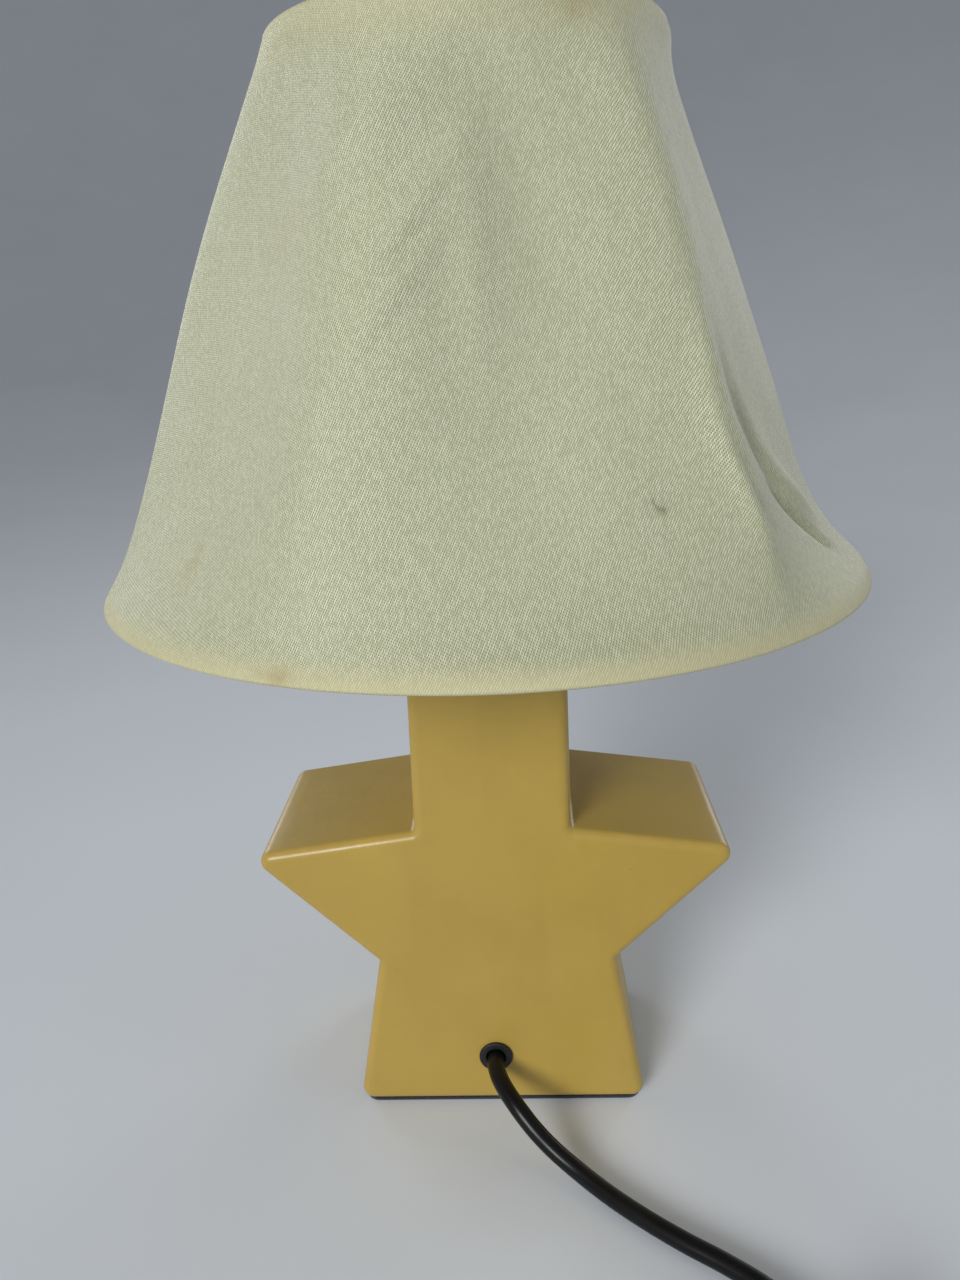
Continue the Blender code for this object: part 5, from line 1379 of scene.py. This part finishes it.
class LAMP_OT_holder(bpy.types.Operator):
    """Lampholder on the neck, its thread, and the ring that clamps the shade"""

    bl_idname = "lamp.holder"
    bl_label = "Lampholder"

    def execute(self, context):
        low = NECK_TOP_Z + GAP
        high = low + 0.0018
        outer = 0.0165
        corners = [(TUBE_ROOM_R, low), (outer, low), (outer, high), (TUBE_ROOM_R, high)]
        radius = [0.0002, 0.0004, 0.0011, 0.0003]
        dress("plate_on_neck", lathe(rounded(corners, radius, 6), 120), "base", nickel, "neck_plate")
        self.cap()
        self.shell()
        self.insert()
        self.clamp_ring()
        return {"FINISHED"}

    def cap(self):
        """The cap: stem, cone and a rim with fine grip ribs, |cos| of the angle round it."""
        z = HOLDER_Z
        stem, rim, top = z + 0.0075, z + 0.0115, z + 0.0173
        corners = [(HOLDER_R, top), (HOLDER_R, rim), (STEM_R, stem), (STEM_R, z), (TUBE_ROOM_R, z),
                   (TUBE_ROOM_R, stem), (HOLDER_BORE_R, rim), (HOLDER_BORE_R, top)]
        radius = [0.0003, 0.0008, 0.0012, 0.0004, 0.0003, 0.0006, 0.0006, 0.0003]
        profile = denser(rounded(corners, radius, 5), 0.0008, True)

        def grip(angle, height, r):
            """Grooves in the rim."""
            band = smooth_band(height, z + 0.0122, z + 0.0128, z + 0.0160, z + 0.0166)
            return -0.00035 * np.abs(np.cos(20 * angle)) * band * (r > 0.0130)

        dress("holder_cap_moulding", lathe(profile, 240, wave=grip), "base", white_holder, "holder_cap")

    def shell(self):
        """The shell with its seat and the coarse outer thread, one turn in two millimetres."""
        z = SHELL_Z
        seat = z + 0.0100
        seat_top = seat + 0.002
        top = z + 0.0300
        lip = top - 0.0012
        lip_r = 0.0110
        corners = [(HOLDER_R, top), (HOLDER_R, seat_top), (SEAT_R, seat_top), (SEAT_R, seat),
                   (HOLDER_R, seat), (HOLDER_R, z), (HOLDER_BORE_R, z), (HOLDER_BORE_R, lip), (lip_r, lip),
                   (lip_r, top)]
        radius = [0.0003, 0.0003, 0.0006, 0.0006, 0.0004, 0.0003, 0.0003, 0.0002, 0.0003, 0.0003]
        profile = denser(rounded(corners, radius, 4), 0.00025, True)
        depth = sizes().thread_depth

        def thread(angle, height, r):
            """Flat-topped thread above the seat."""
            band = smooth_band(height, seat + 0.0025, seat + 0.0035, top - 0.0014, top - 0.0004)
            turn = np.clip(1.6 * helix(angle, height, 0.002), -1, 1)
            return -depth * (0.5 - 0.5 * turn) * band * (r > 0.0134)

        dress("holder_shell_moulding", lathe(profile, 120, wave=thread), "base", white_holder, "holder_shell")

    def insert(self):
        """The porcelain insert and the brass screw shell in it, with the lamp's thread rolled in."""
        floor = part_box("centre_contact")[0][2] - GAP
        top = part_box("holder_insert")[1][2]
        hole, bore, outer = 0.0004, 0.0081, 0.0119
        corners = [(hole, floor), (bore, floor), (bore, top), (outer, top), (outer, SHELL_Z), (hole, SHELL_Z)]
        profile = rounded(corners, [0.0001, 0.0002, 0.0004, 0.0004, 0.0003, 0.0001], 4)
        dress("porcelain_insert", lathe(profile, 96), "base", porcelain, "holder_insert")
        low, high = floor + GAP, top - GAP
        wall = [(0.0078, low), (0.0078, high), (0.0073, high), (0.0073, low)]
        profile = denser(rounded(wall, 0.0001, 2), 0.0003, True)

        def thread(angle, height, r):
            """Rolled thread, pressed outwards."""
            band = smooth_band(height, low + 0.001, low + 0.002, high - 0.002, high - 0.001)
            return 0.00022 * (0.5 + 0.5 * helix(angle, height, LAMP_PITCH)) * band

        dress("brass_screw_shell", lathe(profile, 96, wave=thread), "base", brass, "screw_shell")

    def clamp_ring(self):
        """The shade ring: a plain lip below and a hub with grip ribs above."""
        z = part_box("shade_ring")[0][2]
        lip, top = z + 0.0020, z + 0.0062
        hub_r, lip_r, bore = 0.0168, 0.0185, 0.0141
        corners = [(hub_r, top), (hub_r, lip), (lip_r, lip), (lip_r, z), (bore, z), (bore, top)]
        profile = denser(rounded(corners, [0.0005, 0.0003, 0.0006, 0.0004, 0.0003, 0.0004], 5), 0.0006, True)

        def grip(angle, height, r):
            """Grooves in the hub."""
            band = smooth_band(height, z + 0.0026, z + 0.0031, z + 0.0054, z + 0.0060)
            return -0.00045 * np.abs(np.cos(24 * angle)) * band * (r > 0.0160)

        dress("clamp_ring", lathe(profile, 288, wave=grip), "shade_ring", white_holder, "shade_ring")


class LAMP_OT_bulb(bpy.types.Operator):
    """Screw-in lamp: glass, cap, contact, stem, lead wires and filament"""

    bl_idname = "lamp.bulb"
    bl_label = "Lamp"

    def execute(self, context):
        self.contact()
        self.cap()
        self.glass()
        self.inside()
        return {"FINISHED"}

    def contact(self):
        """The solder dome and the black glass cone above it."""
        z = LAMP_Z
        dome = [(AXIS_R, z), (0.0010, z + 0.0001), (0.0018, z + 0.0004), (0.0023, z + 0.0009),
                (0.0025, z + 0.0013), (0.0024, z + 0.0016), (AXIS_R, z + 0.0016)]
        dress("solder_dome", lathe(dome, 48, closed=False), "bulb_tip", solder, "bulb_contact")
        low = z + 0.0019
        cone = [(0.0004, low), (0.0030, low), (0.0060, low + 0.0026), (0.0004, low + 0.0026)]
        profile = rounded(cone, [0.0001, 0.0004, 0.0003, 0.0001], 4)
        dress("black_glass_cone", lathe(profile, 48), "bulb", black_plastic, "bulb_insulator")

    def cap(self):
        """The cap: rolled thread with a rise of 2.82 mm a turn, flare and skirt."""
        low, high = (corner[2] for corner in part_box("bulb_cap"))
        skirt = high - 0.0035
        flare = skirt - 0.0016
        skirt_r, thread_r = 0.0086, 0.0070
        outer = [(skirt_r, high), (skirt_r, skirt), (thread_r, flare), (thread_r, low)]
        inner = [(r - 0.0005, z) for r, z in reversed(outer)]
        radius = [0.0002, 0.0010, 0.0010, 0.0003, 0.0001, 0.0008, 0.0010, 0.0002]
        profile = denser(rounded(outer + inner, radius, 4), 0.0002, True)

        def thread(angle, height, r):
            """Rolled thread, pressed inwards."""
            band = smooth_band(height, low + 0.0008, low + 0.0022, flare - 0.0022, flare - 0.0008)
            return -0.0006 * (0.5 - 0.5 * helix(angle, height, LAMP_PITCH)) * band

        dress("rolled_cap", lathe(profile, 96, wave=thread), "bulb", tin_cap, "bulb_cap")

    def glass(self):
        """The globe: a sphere, then a quadratic curve into a straight neck, with a thin wall."""
        low, high = (corner[2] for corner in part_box("bulb_glass"))
        neck = 0.0078
        middle = high - GLOBE_R

        def side(wall):
            """One side of the wall, from the top down."""
            angle = np.linspace(0.004, math.radians(132), 44)
            r = GLOBE_R - wall
            ball = np.stack([r * np.sin(angle), middle + r * np.cos(angle)], axis=1)
            knee = np.array([neck - wall, ball[-1, 1] - 0.0105])
            t = np.linspace(0, 1, 16)[1:, None]
            pull = ball[-1] + np.array([-0.0070, -0.0066])
            bend = (1 - t) ** 2 * ball[-1] + 2 * t * (1 - t) * pull + t ** 2 * knee
            return np.concatenate([ball, bend, [[neck - wall, low]]])

        profile = np.concatenate([side(0.0), side(0.0008)[::-1]])
        dress("lamp_glass", lathe(profile, 96, closed=False), "bulb", clear_glass, "bulb_glass", sharp=60)

    def inside(self):
        """The glass stem with its pinched top, two lead wires and a coiled filament on a slight arch."""
        low, top = (corner[2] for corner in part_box("bulb_stem"))
        foot = 0.0060
        corners = [(AXIS_R, top), (0.0019, top), (0.0019, low + foot), (foot, low), (AXIS_R, low)]
        profile = rounded(corners, [0, 0.0009, 0.0040, 0.0004, 0], 6, closed=False)
        flat = lathe(profile, 48, closed=False)
        pinch = ramp(flat.points[:, 2], low + 0.012, top - 0.002)
        flat.points[:, 1] *= 1 - 0.35 * pinch
        dress("glass_stem", flat, "bulb", clear_glass, "bulb_stem")
        middle = LAMP_Z + LAMP_HEIGHT - GLOBE_R
        for number, side in ((1, -1), (2, 1)):
            path = smooth_route([(side * 0.0015, 0, top - 0.003), (side * 0.0015, 0, top + 0.0003),
                                 (side * 0.0017, 0, top + 0.003), (side * 0.0090, 0, middle)], 0.0008)
            shape = wire(path, 0.0003, (0, 1, 0), 10)
            dress(f"lead_wire_{number}", shape, "bulb", nickel, f"bulb_wire_{number}")
        t = np.linspace(0, 1, 520)
        turn = 2 * math.pi * 36 * t
        level = middle + 0.0009
        path = np.stack([
            0.0180 * (t - 0.5),
            0.00032 * np.cos(turn),
            level + 0.0030 * np.sin(math.pi * t) + 0.00032 * np.sin(turn)], axis=1)
        shape = carried(path, circle(0.00008, 6), (0.3, 0.2, 1))
        dress("coiled_filament", shape, "bulb", tungsten, "bulb_filament")


class LAMP_OT_switch(bpy.types.Operator):
    """In-line switch on the lead: two half cases and the rocker"""

    bl_idname = "lamp.switch"
    bl_label = "Switch"

    def execute(self, context):
        ahead = np.array([math.cos(LEAD_HEADING), math.sin(LEAD_HEADING), 0])
        axes = (tuple(ahead), (-ahead[1], ahead[0], 0), (0, 0, 1))
        length, width, high = SWITCH_SIZE
        outline = denser(rounded(oblong(length / 2, width / 2), 0.0090, 16), 0.0015, True)
        lying = ((0, 0, 1), (0, 1, 0), (-1, 0, 0))
        bore = placed(rod(LEAD_ROOM_R, -0.05, 0.05, 40), (0, 0, SWITCH_SPLIT), lying)
        lower = plate(outline, self.bowl(SWITCH_SPLIT - 0.00015))
        screw = placed(rod(0.0028, -0.01, 0.0021), (-0.0190, 0, 0))
        self.half("case_lower", lower, axes, "switch_lower_case", bore, screw)
        upper = self.lid(outline, SWITCH_SPLIT + 0.00015, high)
        self.half("case_upper", upper, axes, "switch_upper_case", bore)
        self.rocker(axes)
        return {"FINISHED"}

    def half(self, name, shape, axes, node, *cutters):
        """One half, with its holes, laid along the lead."""
        mesh = mesh_of(name, placed(shape, SWITCH_PLACE, axes))
        mesh = carve(mesh, *[placed(cutter, SWITCH_PLACE, axes) for cutter in cutters])
        show(name, mesh, "base", black_plastic, node)

    def bowl(self, rim):
        """Insets and heights from the inner floor up the inner wall, over the rim and down outside."""
        wall = SWITCH_WALL
        turn = np.linspace(0, math.pi / 2, 6)
        outer = np.stack([0.0022 * (1 - np.cos(turn)), 0.0022 * (1 - np.sin(turn))], axis=1)
        inner = [[wall + 0.0016, wall], [wall + 0.0012, wall], [wall + 0.0003, wall + 0.0003],
                 [wall, wall + 0.0012]]
        over = [[wall, rim - 0.0002], [wall - 0.0002, rim], [0.0003, rim], [0, rim - 0.0003]]
        return np.concatenate([inner, over, outer, [[0.0028, 0.0]]])

    def lid(self, outline, rim, high):
        """The upper half as rings of one number of points: up the outside, over the rounded edge, across
        the top to the rocker's slot, down through the wall, and back inside to the rim."""
        wall = SWITCH_WALL
        turn = np.linspace(0, math.pi / 2, 7)
        edge = np.stack([0.0030 * (1 - np.cos(turn)), high - 0.0030 * (1 - np.sin(turn))], axis=1)
        outside = np.concatenate([[[0.0003, rim], [0, rim + 0.0003]], edge])
        outer = plate(outline, outside).points.reshape(-1, len(outline), 3)
        slot_x, slot_y = SWITCH_SLOT
        angle = np.arctan2(outline[:, 1] / slot_y, outline[:, 0] / slot_x)
        power = (np.abs(np.cos(angle)) ** 14 + np.abs(np.sin(angle)) ** 14) ** (-1 / 14)
        slot = np.stack([slot_x * np.cos(angle) * power, slot_y * np.sin(angle) * power, 0 * angle], axis=1)

        def at(scale, height):
            """The slot's outline, scaled and at a height."""
            return (slot * scale + np.array([0, 0, height]))[None]

        top = [outer[-1:] * np.array([0.75, 0.80, 1]) * 0.6 + 0.4 * at(1.06, high)]
        lips = [at(1.06, high), at(1.02, high - 0.0001), at(1.0, high - 0.0005), at(1.0, high - wall)]
        inside = plate(outline, [[wall + 0.0010, high - wall], [wall, high - wall - 0.0012], [wall, rim]])
        inside = inside.points.reshape(-1, len(outline), 3)
        points = np.concatenate([outer] + top + lips + [inside])
        return surface(points, close_along=True, close_around=True)

    def rocker(self, axes):
        """The rocker: round ends about its axis, a dished top with finger ribs, and its two pins."""
        tilt = math.radians(7)
        swing = np.linspace(math.radians(-15), math.radians(24), 12)
        right = np.stack([ROCKER_R * np.cos(swing), ROCKER_R * np.sin(swing)], axis=1)
        x = np.linspace(right[-1, 0], -right[-1, 0], 60)[1:-1]
        low = 0.0029
        dish = low + (right[-1, 1] - low) * (np.abs(x) / right[-1, 0]) ** 1.6
        ribs = 0.00022 * np.cos(2 * math.pi * x / 0.0012) * smooth_band(x, 0.0044, 0.0050, 0.0078, 0.0084)
        top = np.stack([x, dish + ribs], axis=1)
        left = right[::-1] * np.array([-1, 1])
        profile = np.concatenate([right, top, left, [[0.0, -0.0024]]])
        body = plate(profile, edge_levels(-0.0050, 0.0050, 0.0004, 0.0004, 3, 0.0002))
        pins = [rod(0.0012, -0.0072, -0.0049, 24), rod(0.0012, 0.0049, 0.0072, 24)]
        ahead, beside, up = (np.array(axis) for axis in axes)
        along = ahead * math.cos(tilt) - up * math.sin(tilt)
        lift = up * math.cos(tilt) + ahead * math.sin(tilt)
        place = np.array(SWITCH_PLACE) + up * PIVOT_H
        turned = (tuple(along), tuple(lift), tuple(-beside))
        shape = placed(join(body, *pins), place, turned)
        dress("rocker", shape, "switch_rocker", black_plastic, "switch_rocker")


class LAMP_OT_plug(bpy.types.Operator):
    """Flat two-pin plug with its ribbed boot, and the tie round the coil"""

    bl_idname = "lamp.plug"
    bl_label = "Plug and tie"

    def execute(self, context):
        axes = ((0, 1, 0), (-1, 0, 0), (0, 0, 1))
        wide, narrow, taper = 0.0175, 0.0065, -0.0120
        corners = [(0, -wide), (0, wide), (taper, wide), (-PLUG_LENGTH, narrow), (-PLUG_LENGTH, -narrow),
                   (taper, -wide)]
        outline = denser(rounded(corners, 0.0034, 8), 0.0012, True)
        body = plate(outline, edge_levels(-0.00685, 0.00685, 0.0024, 0.0024, 8))
        points = body.points
        grip = smooth_band(-points[:, 0], 0.0115, 0.0130, 0.0285, 0.0300)
        points[:, 1] *= 1 - 0.035 * grip * (0.5 + 0.5 * np.cos(2 * math.pi * points[:, 0] / 0.0030))
        dress("plug_moulding", placed(body, PLUG_PLACE, axes), "base", black_plastic, "plug_body")
        forward = ((0, 0, 1), (-1, 0, 0), (0, 1, 0))
        for number, side in ((1, -1), (2, 1)):
            place = np.array(PLUG_PLACE) + np.array([-side * PIN_ASIDE, 0, 0])
            pin = [(AXIS_R, PIN_TIP), (0.0010, PIN_TIP), (PIN_R, 0.0180), (PIN_R, 0.0103), (0.0013, 0.0103),
                   (0.0013, PIN_ROOT), (AXIS_R, PIN_ROOT)]
            line = rounded(pin, [0, 0.0005, 0.0007, 0.0002, 0.0001, 0.0001, 0], 5, False)
            shape = placed(lathe(line, 48, closed=False), place, forward)
            dress(f"pin_{number}", shape, "base", nickel, f"plug_pin_{number}")
            tube = [(PIN_R, 0.0100), (PIN_R, PIN_ROOT), (0.0016, PIN_ROOT), (0.0016, 0.0100)]
            shape = placed(lathe(rounded(tube, 0.00015, 3), 48), place, forward)
            dress(f"pin_sleeve_{number}", shape, "base", black_plastic, f"plug_sleeve_{number}")
        self.boot(forward)
        self.tie()
        return {"FINISHED"}

    def boot(self, forward):
        """The boot: a taper cut by square grooves, cos of the length past a threshold."""
        front = -PLUG_LENGTH - GAP
        back = front - BOOT_LENGTH
        x = np.linspace(front, back, 160)
        share = (front - x) / BOOT_LENGTH
        grooves = ramp(np.cos(2 * math.pi * sizes().boot_rings * share), 0.2, 0.7)
        grooves = grooves * smooth_band(share, 0.10, 0.14, 0.93, 0.96)
        wide, narrow = 0.0052, 0.0036
        radius = wide + (narrow - wide) * share - 0.0007 * grooves
        bore = [(LEAD_ROOM_R, back), (LEAD_ROOM_R, front)]
        profile = np.concatenate([np.stack([radius, x], axis=1), bore])
        shape = placed(lathe(profile, 64), PLUG_PLACE, forward)
        dress("ribbed_boot", shape, "base", black_rubber, "plug_boot")

    def tie(self):
        """The tie: a flat strip with a raised wire along its middle, carried round the coil's section."""
        out = np.array([math.cos(TIE_TURN), math.sin(TIE_TURN), 0])
        along = np.array([-math.sin(TIE_TURN), math.cos(TIE_TURN), 0])
        loose = 0.0005 + 0.00025
        inner = COIL_INNER_R - LEAD_ROOM_R - loose
        outer = COIL_OUTER_R + LEAD_ROOM_R + loose
        bottom = 0.0012 - loose
        top = 0.0112 + loose
        corners = [(outer, bottom), (outer, top), (inner, top), (inner, bottom)]
        ring = denser(rounded(corners, 0.0022, 6), 0.0012, True)
        path = np.array([*COIL_CENTRE, 0]) + ring[:, :1] * out + ring[:, 1:] * np.array([0, 0, 1.0])
        wide, thin, core = 0.0021, 0.00022, 0.0006
        corners = [(wide, -thin), (wide, thin), (core, thin), (0, 0.00045), (-core, thin), (-wide, thin),
                   (-wide, -thin)]
        strip = rounded(corners, 0.00008, 2)
        across = np.broadcast_to(along, path.shape)
        ahead = unit(np.roll(path, -1, axis=0) - np.roll(path, 1, axis=0))
        lift = np.cross(ahead, across)
        points = path[:, None] + strip[None, :, :1] * across[:, None] + strip[None, :, 1:] * lift[:, None]
        shape = surface(points, close_along=True, close_around=True)
        dress("paper_tie", shape, "base", tie_paper, "coil_tie")


class LAMP_OT_lead(bpy.types.Operator):
    """Mains lead: from the base to the switch, and on through the coil to the plug"""

    bl_idname = "lamp.lead"
    bl_label = "Lead"

    def execute(self, context):
        radius = sizes().lead_thickness / 2
        up = (0, 0, 1)
        first = smooth_route(LEAD_ROUTE, 0.0020)
        shape = carried(first, circle(radius, 24), up)
        lead = dress("lead_to_switch", shape, "base", black_pvc, "cord_lead")
        second = self.coil_route()
        shape = carried(second, circle(radius, 20), up)
        rest = dress("lead_to_plug", shape, "base", black_pvc, "cord_link", "cord_coil", "cord_tail")
        return {"FINISHED"}

    def coil_route(self):
        """Out of the switch, down to the coil, clockwise inwards in one layer and outwards in a second
        on top, and off to the plug. The coil's radius runs evenly with the angle."""
        angle = np.linspace(COIL_START, COIL_END, 760)
        share = (COIL_START - angle) / (COIL_START - COIL_END)
        climb = 0.5 / COIL_TURNS
        radius = COIL_INNER_R + (COIL_OUTER_R - COIL_INNER_R) * np.clip(
            (np.abs(share - 0.5) - climb / 2) / (0.5 - climb / 2), 0, 1)
        z = COIL_LOW_Z + COIL_LAYER * ramp(share, 0.5 - climb / 2, 0.5 + climb / 2)
        coil = np.stack([
            COIL_CENTRE[0] + radius * np.cos(angle), COIL_CENTRE[1] + radius * np.sin(angle), z], axis=1)
        way = [(0.09149, -0.17247, 0.0080), (0.09242, -0.17594, 0.0080), (0.0946, -0.18410, 0.0068),
               (0.0976, -0.19530, 0.0045), (0.1000, -0.20420, 0.0037)]
        x, _, level = PLUG_PLACE
        tail = [(x, -0.2118, 0.0086), (x, -0.2045, 0.0081), (x, -0.1965, 0.0073), (x, BOOT_BACK_Y, level),
                (x, BOOT_BACK_Y + 0.0120, level), (x, BOOT_BACK_Y + 0.0255, level)]
        whole = np.concatenate([way, coil, tail])
        return even_points(smooth_route(whole, 0.0025), 0.0025)


class LAMP_OT_fittings(bpy.types.Operator):
    """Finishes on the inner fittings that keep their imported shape"""

    bl_idname = "lamp.fittings"
    bl_label = "Inner fittings"

    def execute(self, context):
        makers = {maker.__name__: maker for maker in FINISHES}
        for entry in frame["record"]["subparts"]:
            node = frame["nodes"][entry["node"]]
            if node.hide_render:
                continue
            node.data.materials.clear()
            node.data.materials.append(once(makers[entry["material_slot"]]))
        return {"FINISHED"}


# Panel and registration


class LAMP_PT_panel(bpy.types.Panel):
    """Lists the lamp's operators with its sizes and colours"""

    bl_idname = "LAMP_PT_panel"
    bl_label = "Star table lamp"
    bl_space_type = "VIEW_3D"
    bl_region_type = "UI"
    bl_category = "Lamp"

    def draw(self, context):
        layout = self.layout
        for operator in OPERATORS:
            layout.operator(operator.bl_idname)
        for group in (context.scene.lamp_sizes, context.scene.lamp_colours):
            box = layout.box()
            for key in group.bl_rna.properties.keys():
                if key not in ("rna_type", "name"):
                    box.prop(group, key)


OPERATORS = [
    LAMP_OT_stage, LAMP_OT_star, LAMP_OT_foot, LAMP_OT_shade_fabric, LAMP_OT_shade_frame, LAMP_OT_holder,
    LAMP_OT_bulb, LAMP_OT_switch, LAMP_OT_plug, LAMP_OT_lead, LAMP_OT_fittings,
]
CLASSES = [LampSizes, LampColours, *OPERATORS, LAMP_PT_panel]


def register():
    """Adds the classes and the scene's two groups of settings."""
    for made in CLASSES:
        bpy.utils.register_class(made)
    bpy.types.Scene.lamp_sizes = bpy.props.PointerProperty(type=LampSizes)
    bpy.types.Scene.lamp_colours = bpy.props.PointerProperty(type=LampColours)


def unregister():
    """Takes away what register added."""
    del bpy.types.Scene.lamp_colours
    del bpy.types.Scene.lamp_sizes
    for made in reversed(CLASSES):
        bpy.utils.unregister_class(made)


def main():
    """Builds the stage and every piece."""
    register()
    bpy.ops.lamp.stage()
    bpy.ops.lamp.star()
    bpy.ops.lamp.foot()
    bpy.ops.lamp.shade_fabric()
    bpy.ops.lamp.shade_frame()
    bpy.ops.lamp.holder()
    bpy.ops.lamp.bulb()
    bpy.ops.lamp.switch()
    bpy.ops.lamp.plug()
    bpy.ops.lamp.lead()
    bpy.ops.lamp.fittings()


if __name__ == "__main__":
    main()
